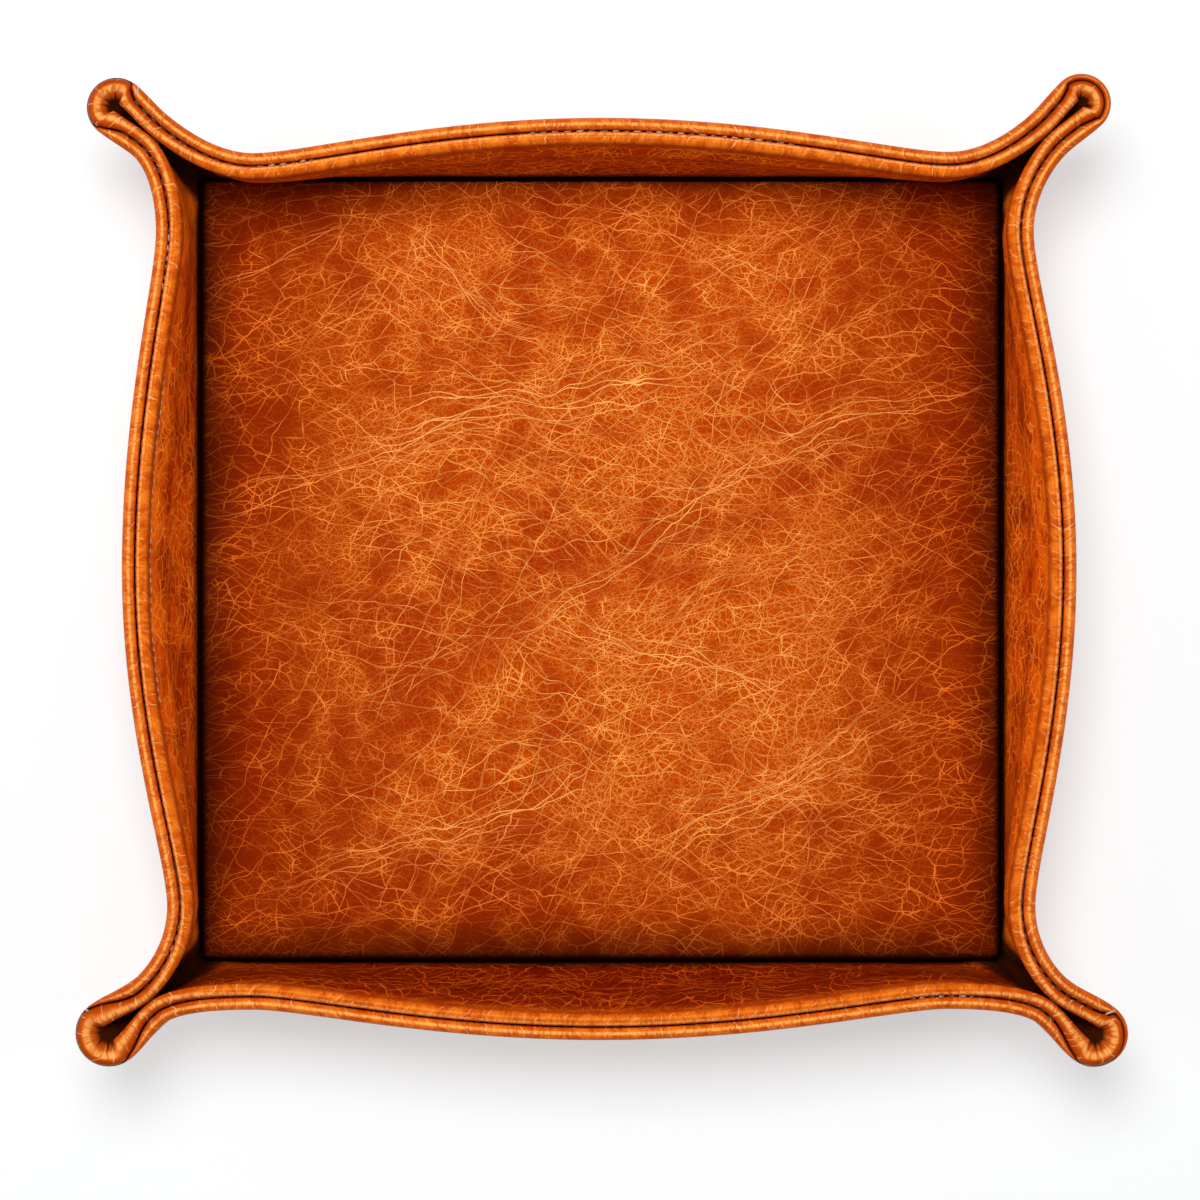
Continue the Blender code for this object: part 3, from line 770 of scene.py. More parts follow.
def lining_leather(stations, sizes):
    """Make the lining: inner walls, inner roll, gathered ear tips and the flange below."""
    face = CORE_HALF + sizes.lining_thickness + PADDED_EXTRA * stations.padded
    low = FLANGE_LOW + sizes.lining_thickness
    foot = np.radians(ROLL_FOOT + 100 * stations.padded)
    offset, height, wall = rolled_leather(stations, sizes, face, -stations.shift, foot,
                                          sizes.tray_height, low, True)
    back = CORE_HALF + PADDED_EXTRA * stations.padded
    at_foot = 1 - smooth(height, *FOOT_SPREAD)
    puff = np.exp(-((height - sizes.tray_height + PUFF_DROP) / PUFF_REACH) ** 2)
    puff = puff * stations.padded
    for shape in (at_foot, puff):
        shape[:, wall:] = 0
    offset = offset + (PADDED_EXTRA * (1 - stations.padded) + FOOT_EXTRA) * at_foot
    offset = offset + PADDING_PUFF * puff
    offset = columns(-offset, -back, -back)
    height = columns(height, np.array(((sizes.tray_height * HIDDEN_START, FLANGE_LOW),)))
    points = at_sections(stations, offset, height, sizes, PADDING_KNEE)
    edge_top, edge_low = [
        np.column_stack((stations.flange, np.full(len(stations.flange), level)))[:, None]
        for level in (low, FLANGE_LOW)]
    points = np.concatenate((edge_top, points, edge_low), axis=1)
    return wall_skin("lining_leather", stations, points, 1 + wall, True,
                     folds=gathered(stations, points, sizes))


def closing(stations):
    """Return how far the groove has closed where it runs out towards the edge."""
    return smooth(stations.shift, *GROOVE_CLOSES)


def shut(stations):
    """Return 1 at the stations where the groove closes into the edge, and 0 elsewhere."""
    return smooth(stations.shift, *GROOVE_SHUTS)


def in_ear(stations):
    """Return how far into an ear each station lies, from 0 at its start to 1."""
    return smooth(stations.from_neck, *EAR_SHADE)


def gathered(stations, points, sizes):
    """Return the painted shade in the gathered ear tips, darker along the pleats, and down the
    throats.
    """
    drop = sizes.tray_height - points[..., 2]
    fall = drop / sizes.funnel_depth
    inside = smooth(fall, *FUNNEL_DARK) * (fall < FUNNEL_DARK_END)
    throat = smooth(stations.from_neck, *THROAT_SHADE) * smooth(drop, *THROAT_DARK)
    return (stations.funnel * inside * (0.84 + 1.5 * pleats(stations)) + throat).clip(0, 1)


def floor_panel(sizes):
    """Make the floor panel's leather, a sheet over the board with its edge turned in."""
    half_x, half_y = sizes.floor_width / 2, sizes.floor_depth / 2
    corner, rounding = PANEL_CORNER, PANEL_ROUNDING
    level = PANEL_HIGH.z - PANEL_SINK
    sheet = bmesh.new()
    bmesh.ops.create_grid(sheet, x_segments=PANEL_CELLS, y_segments=PANEL_CELLS, size=1)
    for vert in sheet.verts:
        x, y = vert.co.x * (half_x - rounding), vert.co.y * (half_y - rounding)
        centre = Vector((math.copysign(half_x - rounding - corner, x),
                         math.copysign(half_y - rounding - corner, y)))
        if abs(x) > abs(centre.x) and abs(y) > abs(centre.y):
            x, y = centre + (Vector((x, y)) - centre).normalized() * corner
        ripple = noise.noise(Vector((x * 22, y * 22, 3.0)))
        flat = smooth(min(half_x - abs(x), half_y - abs(y)), 0.0, PANEL_FLAT_EDGE)
        vert.co = (x, y, level + PANEL_RIPPLE * ripple * flat)
    rims = [edge for edge in sheet.edges if edge.is_boundary]
    drop = level - PANEL_LOW.z
    profile = [(rounding * math.sin(turn), rounding * (1 - math.cos(turn)))
               for turn in np.linspace(0, math.pi / 2, 6)[1:]]
    profile += [(rounding + 0.0002, drop / 2), (rounding, drop - rounding / 2),
                (rounding / 2, drop)]
    profile += [(rounding - turned, drop) for turned in TURNED_IN]
    before = 0.0
    for out, down in profile:
        made = bmesh.ops.extrude_edge_only(sheet, edges=rims)["geom"]
        rims = [item for item in made if isinstance(item, bmesh.types.BMEdge)]
        for vert in dict.fromkeys(vert for edge in rims for vert in edge.verts):
            push = panel_outward(vert.co, half_x, half_y)
            vert.co.x += push.x * (out - before)
            vert.co.y += push.y * (out - before)
            vert.co.z = level - down
        before = out
    panel = finish_piece("floor_panel_leather", sheet)
    thickness = panel.modifiers.new("Leather thickness", "SOLIDIFY")
    thickness.thickness = PANEL_LEATHER
    thickness.offset = -1
    return panel


def panel_outward(place, half_x, half_y):
    """Return the panel's outward direction at a point of its edge, slanted at a corner."""
    gap_x = half_x - abs(place.x)
    gap_y = half_y - abs(place.y)
    if max(gap_x, gap_y) < MITRE_REACH and abs(gap_x - gap_y) < PANEL_CORNER:
        inner = Vector((math.copysign(half_x - MITRE_REACH, place.x),
                        math.copysign(half_y - MITRE_REACH, place.y)))
        return (place.xy - inner).normalized() * 1.2
    if gap_x < gap_y:
        return Vector((math.copysign(1, place.x), 0))
    return Vector((0, math.copysign(1, place.y)))


def strand(name, stations, sizes, offset, height):
    """Make a twisted cord that follows the rim inside a roll, slimmer where the roll is."""
    radius = CORD_RADIUS * (1 - stations.shift / CORD_GONE)
    turn = 2 * math.pi * np.arange(CORD_FACETS)[None] / CORD_FACETS
    travel = stations.length[:-1, None]
    lay = 1 + PLY_RELIEF * np.cos(CORD_PLIES * (turn - travel * 2 * math.pi / CORD_LAY))
    offsets = offset + radius * lay * np.cos(turn)
    heights = height + radius * lay * np.sin(turn)
    points = at_sections(stations, offsets, heights, sizes)
    return build_skin(name, points, stations.length, np.arange(CORD_FACETS) * 0.0005, True)


def stitch_shape():
    """Return the shape of one stitch, 1 long and 1 wide, plump in the middle."""
    shape = bmesh.new()
    bmesh.ops.create_uvsphere(shape, u_segments=8, v_segments=6, radius=0.5)
    mesh = bpy.data.meshes.new("stitch")
    shape.to_mesh(mesh)
    shape.free()
    return mesh


def stitch(made, shape, start, end, up, width):
    """Add one stitch between two points, with its flatter side down."""
    start, end, up = Vector(start), Vector(end), Vector(up)
    forward = end - start
    side = forward.cross(up).normalized()
    up = side.cross(forward).normalized()
    turn = Matrix((side * width, up * width * 0.8, forward)).transposed().to_4x4()
    place = Matrix.Translation((start + end) / 2) @ turn
    shape.transform(place)
    made.from_mesh(shape)
    shape.transform(place.inverted())


def sewn_line(made, stations, sizes, pitch, length, offset, height, up, width, wanted):
    """Add a row of stitches along the rim at one offset and height."""
    shape = stitch_shape()
    count = len(stations.rim)
    knee = PADDING_KNEE if up[0] < 0 else FOLD_HEIGHT
    line = rim_points(stations, offset, height, sizes, knee)
    side = rim_points(stations, offset + 0.001, height, sizes, knee) - line
    line = np.vstack((line, line[:1]))
    travel = np.concatenate(((0,), np.cumsum(np.linalg.norm(np.diff(line, axis=0), axis=1))))
    pieces = int(travel[-1] / pitch)

    def along(distance):
        return [np.interp(distance, travel, line[:, axis]) for axis in range(3)]

    for number in range(pieces):
        middle = (number + 0.5) * travel[-1] / pieces
        station = int(np.searchsorted(travel, middle)) % count
        if not wanted[station]:
            continue
        shake = Vector(noise.noise(Vector((number * 0.73, pitch * 900, 2.0 + axis)))
                       for axis in range(3))
        half = length * (0.5 + 0.08 * shake.x)
        start = Vector(along(middle - half))
        end = Vector(along(middle + half))
        tilt = Vector((*side[station][:2], 0)).normalized() * STITCH_SHAKE
        lift = Vector((0, 0, STITCH_SHAKE * shake.z))
        direction = Vector((side[station][0] * up[0], side[station][1] * up[0],
                            0.001 * up[1]))
        stitch(made, shape, start + tilt * (1 + shake.y) + lift, end - tilt + lift, direction,
               width)
    bpy.data.meshes.remove(shape)


def groove_stitches(stations, sizes, threads):
    """Make the stitches in the groove between the rolls, and those across the ear tips."""
    made = bmesh.new()
    shown = shown_stations(SHOWN_IN_GROOVE) * (0.6 + uneven(stations.rim, 400, 9.0))
    height = (sizes.tray_height - sizes.roll_radius - GROOVE_STITCH_LOW
              + GROOVE_STITCH_RISE * np.clip(shown, 0, 1))
    wanted = (stations.shift < GROOVE_SEWN_TO)[:, 0]
    sewn_line(made, stations, sizes, threads.groove_pitch, threads.groove_length, 0.0,
              height, (0, 1), threads.diameter, wanted)
    shape = stitch_shape()
    for ear, step, slant, near, far in TIP_STITCHES:
        ends = []
        for offset, at in ((near, step), (far, step + slant)):
            top = sizes.tray_height - 0.00005 - 0.0003 * (offset / 0.003) ** 2
            ends.append(rim_points(stations, offset, top, sizes)[station_at(ear, at)])
        stitch(made, shape, ends[0], ends[1], (0, 0, 1), threads.diameter * 1.3)
    bpy.data.meshes.remove(shape)
    return finish_piece("groove_stitches", made)


def station_at(ear, step):
    """Return the station at a step of an ear."""
    steps = ear_steps()
    before = (ear + 1) * SIDE_STATIONS + ear * len(steps)
    return before + int(np.argmin(np.abs(steps - step)))


def seam_stitches(stations, sizes, threads, inside):
    """Make the seam below the rolls as it shows on one face of the walls."""
    made = bmesh.new()
    height = sizes.tray_height - sizes.seam_drop
    if inside:
        face = (CORE_HALF + sizes.lining_thickness + PADDED_EXTRA * stations.padded
                + SEAM_STITCH_LIFT)
        shown = shown_stations(SHOWN_IN_SEAM) * (0.75 + uneven(stations.rim, 260, 4.0))
        offset = SEAM_STITCH_HIDDEN * (1 - np.clip(shown, 0, 1)) + SEAM_STITCH_SUNK - face
    else:
        offset = CORE_HALF + sizes.cover_thickness + SEAM_STITCH_LIFT
    wanted = (stations.shift < SEAM_SEWN_TO)[:, 0]
    up = (-1, 0.15) if inside else (1, 0.15)
    sewn_line(made, stations, sizes, threads.seam_pitch, threads.seam_length, offset, height,
              up, threads.seam_width, wanted)
    return finish_piece("topstitching" if inside else "bobbin_stitching", made)


def corner_tack(stations, sizes, threads, index):
    """Make the bunched thread that holds an ear's two faces together deep in its throat."""
    corner, direction, sideways, length = ear_frame(index, sizes)
    level = sizes.tray_height - TACK_DROP
    roll_bottom = sizes.tray_height - 2 * sizes.roll_radius
    rise = (level - FOLD_HEIGHT) / (roll_bottom - FOLD_HEIGHT)
    fold_tip = stations.fold[station_at(index, EAR_STEPS / 2)]
    tip = corner + direction * length
    distance = np.linalg.norm(tip - fold_tip) * rise - TACK_SETBACK
    centre = Vector((*(fold_tip + direction * distance), level))
    across = Vector((*sideways, 0))
    up = Vector((0, 0, 1))
    turn = Matrix((up, across, -across.cross(up))).transposed().to_4x4()
    made = bmesh.new()
    for number in range(TACK_LOOPS):
        place = centre + across * TACK_HALF_WIDTH * (number / 2 - 1)
        radius = TACK_RADIUS + TACK_UNEVEN * math.sin(number * 2.1)
        ring = bmesh.ops.create_circle(made, segments=8, radius=threads.diameter / 2 * 1.15)
        bmesh.ops.transform(made, matrix=Matrix.Translation(place + up * radius) @ turn,
                            verts=ring["verts"])
        edges = list(dict.fromkeys(edge for vert in ring["verts"] for edge in vert.link_edges))
        bmesh.ops.spin(made, geom=ring["verts"] + edges, cent=place, axis=across,
                       angle=2 * math.pi, steps=16, use_merge=True)
    return finish_piece("corner_tack_thread_" + EARS[index][0], made)


class Signal:
    """A value that changes over a surface. Arithmetic on it adds Math nodes."""

    def __init__(self, recipe, socket):
        self.recipe = recipe
        self.socket = socket

    def __add__(self, other):
        return self.recipe.maths("ADD", self, other)

    def __sub__(self, other):
        return self.recipe.maths("SUBTRACT", self, other)

    def __rsub__(self, other):
        return self.recipe.maths("SUBTRACT", other, self)

    def __mul__(self, other):
        return self.recipe.maths("MULTIPLY", self, other)

    def __truediv__(self, other):
        return self.recipe.maths("DIVIDE", self, other)

    def __abs__(self):
        return self.recipe.maths("ABSOLUTE", self)

    __radd__ = __add__
    __rmul__ = __mul__


class Recipe:
    """A material and the ways of adding nodes to it."""

    def __init__(self, name):
        self.material = bpy.data.materials.new(name)
        self.material.use_nodes = True
        self.tree = self.material.node_tree
        self.shader = self.tree.nodes["Principled BSDF"]

    def add(self, kind, settings=None, inputs=None, output=0):
        """Add a node: its settings first, then the values or links of its sockets."""
        node = self.tree.nodes.new("ShaderNode" + kind)
        for key, value in (settings or {}).items():
            setattr(node, key, value)
        for key, value in (inputs or {}).items():
            self.feed(node.inputs[key], value)
        return Signal(self, node.outputs[output])

    def feed(self, socket, value):
        """Link a signal to a socket, or set its constant."""
        if isinstance(value, Signal):
            self.tree.links.new(value.socket, socket)
        elif socket.type == "RGBA":
            socket.default_value = (*value[:3], 1)
        else:
            socket.default_value = value

    def maths(self, operation, *values):
        """Add a Math node."""
        return self.add("Math", {"operation": operation}, dict(enumerate(values)))

    def most(self, first, second):
        """Return the greater of two values."""
        return self.maths("MAXIMUM", first, second)

    def least(self, first, second):
        """Return the lesser of two values."""
        return self.maths("MINIMUM", first, second)

    def stepped(self, value, low, high, start=0.0, end=1.0):
        """Return a soft step: start below low, end above high."""
        return self.add("MapRange", {"interpolation_type": "SMOOTHSTEP"},
                        {"Value": value, "From Min": low, "From Max": high,
                         "To Min": start, "To Max": end})

    def fading(self, value, low, high, start=1.0):
        """Return a soft step down: start below low, 0 above high."""
        return self.stepped(value, low, high, start, 0.0)

    def blend(self, share, first, second):
        """Mix two colours."""
        return self.add("Mix", {"data_type": "RGBA"}, {0: share, 6: first, 7: second}, 2)

    def clouds(self, place, scale, detail=2.0, rough=0.5):
        """Return noise between 0 and 1."""
        return self.add("TexNoise", None, {"Vector": place, "Scale": scale, "Detail": detail,
                                           "Roughness": rough})

    def turned(self, place, angle=0.0, scale=(1, 1, 1), move=(0, 0, 0)):
        """Turn, stretch and move a pattern."""
        return self.add("Mapping", None, {"Vector": place, "Rotation": (0, 0, angle),
                                          "Scale": scale, "Location": move})

    def warped(self, place, scale, amount):
        """Bend a pattern by soft noise, by that amount in metres."""
        shift = self.add("TexNoise", None, {"Vector": place, "Scale": scale, "Detail": 1.0},
                         output=1)
        shift = self.add("VectorMath", {"operation": "SUBTRACT"},
                         {0: shift, 1: (0.5, 0.5, 0.5)})
        shift = self.add("VectorMath", {"operation": "SCALE"}, {0: shift, 3: 2 * amount})
        return self.add("VectorMath", {"operation": "ADD"}, {0: place, 1: shift})

    def edges(self, dimensions, key, place, scale, width):
        """Return the edges between cells of one or two dimensions."""
        distance = self.add("TexVoronoi", {"voronoi_dimensions": dimensions,
                                           "feature": "DISTANCE_TO_EDGE"},
                            {key: place, "Scale": scale})
        return self.fading(distance, 0.0, width)

    def cracks(self, place, scale, width):
        """Return thin lines between cells, 1 on a line; width is a share of a cell."""
        return self.edges("2D", "Vector", place, scale, width)

    def split(self, place):
        """Return the three coordinates of a place."""
        node = self.add("SeparateXYZ", None, {0: place}).socket.node
        return [Signal(self, socket) for socket in node.outputs]

    def strands(self, across, scale, width):
        """Return long thin lines at uneven distances across, 1 on a line."""
        return self.edges("1D", "W", across, scale, width)

    def finish(self, colour, rough, height, relief, **constants):
        """Set the shader's sockets: colour, roughness, relief and constants."""
        self.feed(self.shader.inputs["Base Color"], colour)
        self.feed(self.shader.inputs["Roughness"], rough)
        bump = self.add("Bump", None, {"Height": height, "Distance": relief, "Strength": 1.0})
        self.feed(self.shader.inputs["Normal"], bump)
        for key, value in constants.items():
            self.feed(self.shader.inputs[key.replace("_", " ")], value)
        return self.material


# Bundles of long creases on the floor panel: centre x and y, angle in degrees, length, width
CREASE_BUNDLES = (
    (0.0072, 0.0049, 38, 0.088, 0.0060),
    (0.0691, 0.0383, 16, 0.066, 0.0070),
    (-0.0826, 0.0742, 29, 0.038, 0.0030),
    (-0.0126, 0.0415, 9, 0.090, 0.0110),
    (-0.0410, -0.0644, 23, 0.092, 0.0070),
    (-0.0348, 0.0717, -40, 0.042, 0.0050),
    (-0.0616, 0.0254, 20, 0.080, 0.0060),
    (0.0147, -0.0211, -18, 0.076, 0.0050),
    (0.0444, -0.0545, 32, 0.078, 0.0100),
)

# The directions that fine creases run in, on the floor and on the walls: angle and shift
FLOOR_CREASES = ((0.22, 0.0), (-0.62, 2.0), (1.10, 4.0), (0.55, 6.0), (-0.20, 8.0))
WALL_CREASES = ((0.10, 0.0), (-0.22, 3.0), (0.35, 9.0), (1.2, 5.0), (-0.8, 7.0))


def crease_bundle(recipe, bent, bundle):
    """Return the lines of one bundle of long creases, and the bundle's soft shape."""
    x, y, degrees, length, width = bundle
    angle = -math.radians(degrees)
    centre = Matrix.Rotation(angle, 2) @ Vector((x, y))
    own = recipe.turned(bent, angle, (1, 1, 1), (-centre.x, -centre.y, 0))
    along, across = recipe.split(own)[:2]
    ends = recipe.fading(abs(along), length * 0.25, length * 0.55)
    core = recipe.fading(abs(across), width * 0.1, width * 0.8)
    fan = across / (1.0 + abs(along) * 12)
    crossing = recipe.strands(fan + along * 0.12, 300, 0.040)
    lines = recipe.most(recipe.strands(fan - along * 0.03, 340, 0.046), crossing)
    return lines * ends * core, ends * core


def crackle(recipe, place):
    """Return the floor leather's crackle: lines, finest lines, creases, density and clouds."""
    bent = recipe.warped(recipe.warped(place, 19, 0.0080), 75, 0.0030)
    kinked = recipe.warped(bent, 480, 0.00055)
    patches = recipe.clouds(place, 30, 3.0, 0.6)
    small = recipe.clouds(place, 120, 1.0)
    dense = recipe.stepped(patches * 0.6 + small * 0.4, 0.42, 0.58)
    wide = recipe.cracks(recipe.turned(kinked, 0.3, (0.75, 1.15, 1)), 200, 0.034)
    lines = wide * recipe.stepped(recipe.clouds(bent, 150, 1.0), 0.36, 0.56, 0.30, 1.05)
    other = recipe.cracks(recipe.turned(kinked, 0.6, (0.7, 1.2, 1), (0.3, 0.1, 0)), 400, 0.050)
    other = other * recipe.stepped(small, 0.36, 0.60, 0.22, 0.85)
    lines = recipe.most(lines, other)
    finest = recipe.turned(kinked, 1.4, (0.8, 1.1, 1), (0.7, 0.4, 0))
    finest = recipe.cracks(finest, 640, 0.070)
    lines = lines * (0.60 + dense * 0.45)
    finest = finest * (0.16 + dense * 0.50)
    slight = recipe.warped(bent, 240, 0.0006)
    for angle, shift in FLOOR_CREASES:
        own = recipe.turned(slight, -angle, (1, 1, 1), (shift, shift, 0))
        creases = recipe.strands(recipe.split(own)[1], 210, 0.030)
        shown = recipe.clouds(recipe.turned(own, 0, (0.25, 1.3, 1)), 75, 1.0)
        creases = creases * recipe.stepped(shown, 0.48, 0.58, 0.0, 1.05)
        lines = recipe.most(lines, creases)
    bold, bundled = crease_bundle(recipe, slight, CREASE_BUNDLES[0])
    for bundle in CREASE_BUNDLES[1:]:
        creases, core = crease_bundle(recipe, slight, bundle)
        bold = recipe.most(bold, creases)
        bundled = recipe.most(bundled, core)
    lines = recipe.most(lines, bold * 1.4)
    lines = lines * recipe.stepped(recipe.clouds(bent, 170, 1.0), 0.36, 0.62, 0.55, 1.15)
    dense = recipe.most(dense, bundled)
    return lines, finest, bold, dense, patches, small


def panel_gaps(recipe, place, patches):
    """Return a place's distances from the panel's sides, front, back and nearest edge."""
    across, depth = recipe.split(place)[:2]
    across = abs(across)
    side = PANEL_HIGH.x - across + (patches - 0.5) * 0.008
    front = depth - PANEL_LOW.y + (patches - 0.5) * 0.008
    back = PANEL_HIGH.y - depth + (patches - 0.5) * 0.004
    rim = recipe.least(PANEL_HIGH.x - across, depth - PANEL_LOW.y)
    rim = recipe.least(rim, (PANEL_HIGH.y - depth) * 2.6)
    return side, front, back, rim


def panel_surface(colours):
    """Return the floor panel's leather: dense pale crackle, with painted shade towards its
    edges.
    """
    recipe = Recipe("panel_leather")
    place = recipe.add("TexCoord", output=3)
    lines, finest, bold, dense, patches, small = crackle(recipe, place)
    wide = recipe.clouds(place, 13, 2.0)
    side, front, back, rim = panel_gaps(recipe, place, patches)
    # Painted shade towards the panel's sides, front and back; in it the crackle dims and its
    # finest lines thin out
    clear = 1 - recipe.fading(side, 0.0, 0.060)
    for gap, reach in ((front, 0.046), (back, 0.024)):
        clear = clear * (1 - recipe.fading(gap, -0.002, reach, 0.80))
    painted_edge_shade = 1 - clear
    lines = recipe.most(lines, finest * (1 - painted_edge_shade * 0.85))
    ground = recipe.blend(recipe.stepped(wide * 0.3 + patches * 0.4 + small * 0.3, 0.38, 0.56),
                          colours.deep, colours.ground)
    ground = recipe.blend(painted_edge_shade * 0.88, ground, FLOOR_SHADES.edge)
    ground = recipe.blend(dense * (0.24 - painted_edge_shade * 0.2), ground, FLOOR_SHADES.haze)
    grain = recipe.clouds(place, 2000, 2.0, 0.70)
    ground = recipe.blend(recipe.fading(grain, 0.40, 0.60, 0.55), ground, FLOOR_SHADES.pores)
    strength = recipe.stepped(wide, 0.30, 0.70, 0.80, 1.0) - painted_edge_shade * 0.12
    pale = recipe.blend(painted_edge_shade * 0.90, colours.crackle, FLOOR_SHADES.crackle_in_edge_shade)
    colour = recipe.blend(recipe.least(lines * strength, 1.0), ground, pale)
    colour = recipe.blend(bold * (0.60 - painted_edge_shade * 0.45), colour, FLOOR_SHADES.bold_crackle)
    # Painted shade at the panel's edge, darkest in the crease round it
    edge = recipe.least(recipe.stepped(side, -0.003, 0.014),
                        recipe.stepped(front, -0.003, 0.014))
    edge = recipe.least(edge, recipe.stepped(back, -0.002, 0.003))
    colour = recipe.blend((1 - edge) * 0.88, colour, colours.painted_shade)
    colour = recipe.blend(recipe.fading(rim, 0.0003, 0.0022, 0.97), colour,
                          colours.painted_shade)
    height = grain * 0.22 + patches * 0.5
    rough = 0.56 + small * 0.08
    return recipe.finish(colour, rough, height, 0.00030, Specular_IOR_Level=0.04,
                         Specular_Tint=FLOOR_SHADES.sheen)


def wall_colour(recipe, bent, travel, depth, ear, colours, inside):
    """Return the walls' colour, with lines that look round from straight above, and painted
    shade and light.
    """
    upright = recipe.turned(bent, 0, (0.7, 0.75, 1))
    streaks = recipe.clouds(recipe.turned(upright, 0, (0.5, 1.0, 1)), 300, 3.0, 0.65)
    blotches = recipe.clouds(upright, 110, 3.0, 0.6)
    curly = recipe.turned(recipe.warped(upright, 420, 0.0011), 0, (0.65, 1.0, 1))
    # Painted shade on the front walls, with fainter lines; on the back wall painted shade on the
    # ground and painted light on brighter lines
    front = recipe.fading(depth, -0.099, -0.093)
    back = recipe.stepped(depth, 0.093, 0.099)
    lines = recipe.cracks(curly, 500, 0.050) * (1 - front * 0.55 + back * 0.6)
    lines = lines * recipe.stepped(blotches, 0.36, 0.58, 0.15, 0.85)
    for angle, shift in WALL_CREASES:
        own = recipe.turned(upright, angle, (1, 1, 1), (shift, 0, 0))
        veins = recipe.strands(recipe.split(recipe.warped(own, 260, 0.0016))[1], 480, 0.072)
        shown = recipe.clouds(recipe.turned(own, 0, (0.4, 1, 1)), 170, 2.0)
        lines = recipe.most(lines, veins * recipe.stepped(shown, 0.46, 0.56))
    ground = recipe.blend(recipe.stepped(streaks * 0.6 + blotches * 0.4, 0.40, 0.58),
                          WALL_SHADES.deep, colours.wall)
    if not inside:
        return recipe.blend(lines * 0.65, ground, WALL_SHADES.lines)
    # Painted light on the inner wall just below the roll and on the walls near the ears
    upper = recipe.stepped(travel, -0.0130, -0.0030, 0.0, 0.42)
    upper = recipe.most(upper, recipe.stepped(ear, 0.0, 0.35, 0.0, 0.90))
    ground = recipe.blend(upper * recipe.stepped(streaks, 0.35, 0.60, 0.3, 1.0), ground,
                          WALL_SHADES.upper)
    ground = recipe.blend(front * 0.92, ground, WALL_SHADES.front)
    ground = recipe.blend(back * 0.62, ground, WALL_SHADES.back)
    bright = recipe.blend(front * 0.80, WALL_SHADES.lines, WALL_SHADES.front_lines_in_shade)
    bright = recipe.blend(back, bright, WALL_SHADES.back_lines_in_light)
    return recipe.blend(lines * (0.90 + back * 0.60), ground, bright)


def roll_colour(recipe, bent, travel, depth, ear, colours, inside):
    """Return the rolls' colour: painted highlight on the crest, painted shade on the sides,
    nicks, fine hatching.
    """
    around = recipe.split(bent)[0]
    wave = recipe.clouds(bent, 260, 2.0)
    nicks = recipe.strands(around + wave * 0.0035 + travel * 0.5, 330, 0.060)
    nicks = nicks * recipe.stepped(recipe.clouds(bent, 420, 1.0), 0.46, 0.56)
    hatch = recipe.clouds(recipe.turned(bent, 0.2, (1.0, 0.34, 1)), 1500, 2.0, 0.6)
    mottle = recipe.clouds(recipe.turned(bent, 0, (1.0, 0.5, 1)), 260, 3.0, 0.7)
    roll = recipe.blend(recipe.stepped(mottle * 0.7 + hatch * 0.3, 0.38, 0.62),
                        ROLL_SHADES.mottle, colours.rolled)
    # Painted shade down the rolls' sides, lighter on the front outer roll, and towards the
    # groove
    side = recipe.fading(travel, -0.0040 if inside else -0.0032, -0.0004)
    front = recipe.fading(depth, -0.104, -0.098)
    shaded = side * 0.45 if inside else side * (0.98 - front * 0.50)
    roll = recipe.blend(shaded, roll, ROLL_SHADES.shaded)
    roll = recipe.blend(ear * 0.60, roll, ROLL_SHADES.in_ear)
    groove_side_shade = recipe.stepped(travel, 0.0012, 0.0021, 0.0, 0.60)
    roll = recipe.blend(groove_side_shade, roll, ROLL_SHADES.shaded)
    # Painted highlight along the crest of each roll, broken up by the hatching
    crest = 0.0009 if inside else 0.0002
    sheen = recipe.fading(abs(travel - crest), 0.0001, 0.0006)
    roll = recipe.blend(sheen * recipe.stepped(hatch, 0.38, 0.58, 0.25, 0.85), roll,
                        ROLL_SHADES.crest)
    nicks = nicks * (1 - side * 0.75)
    return recipe.blend(nicks * 0.75, roll, ROLL_SHADES.nicks), hatch


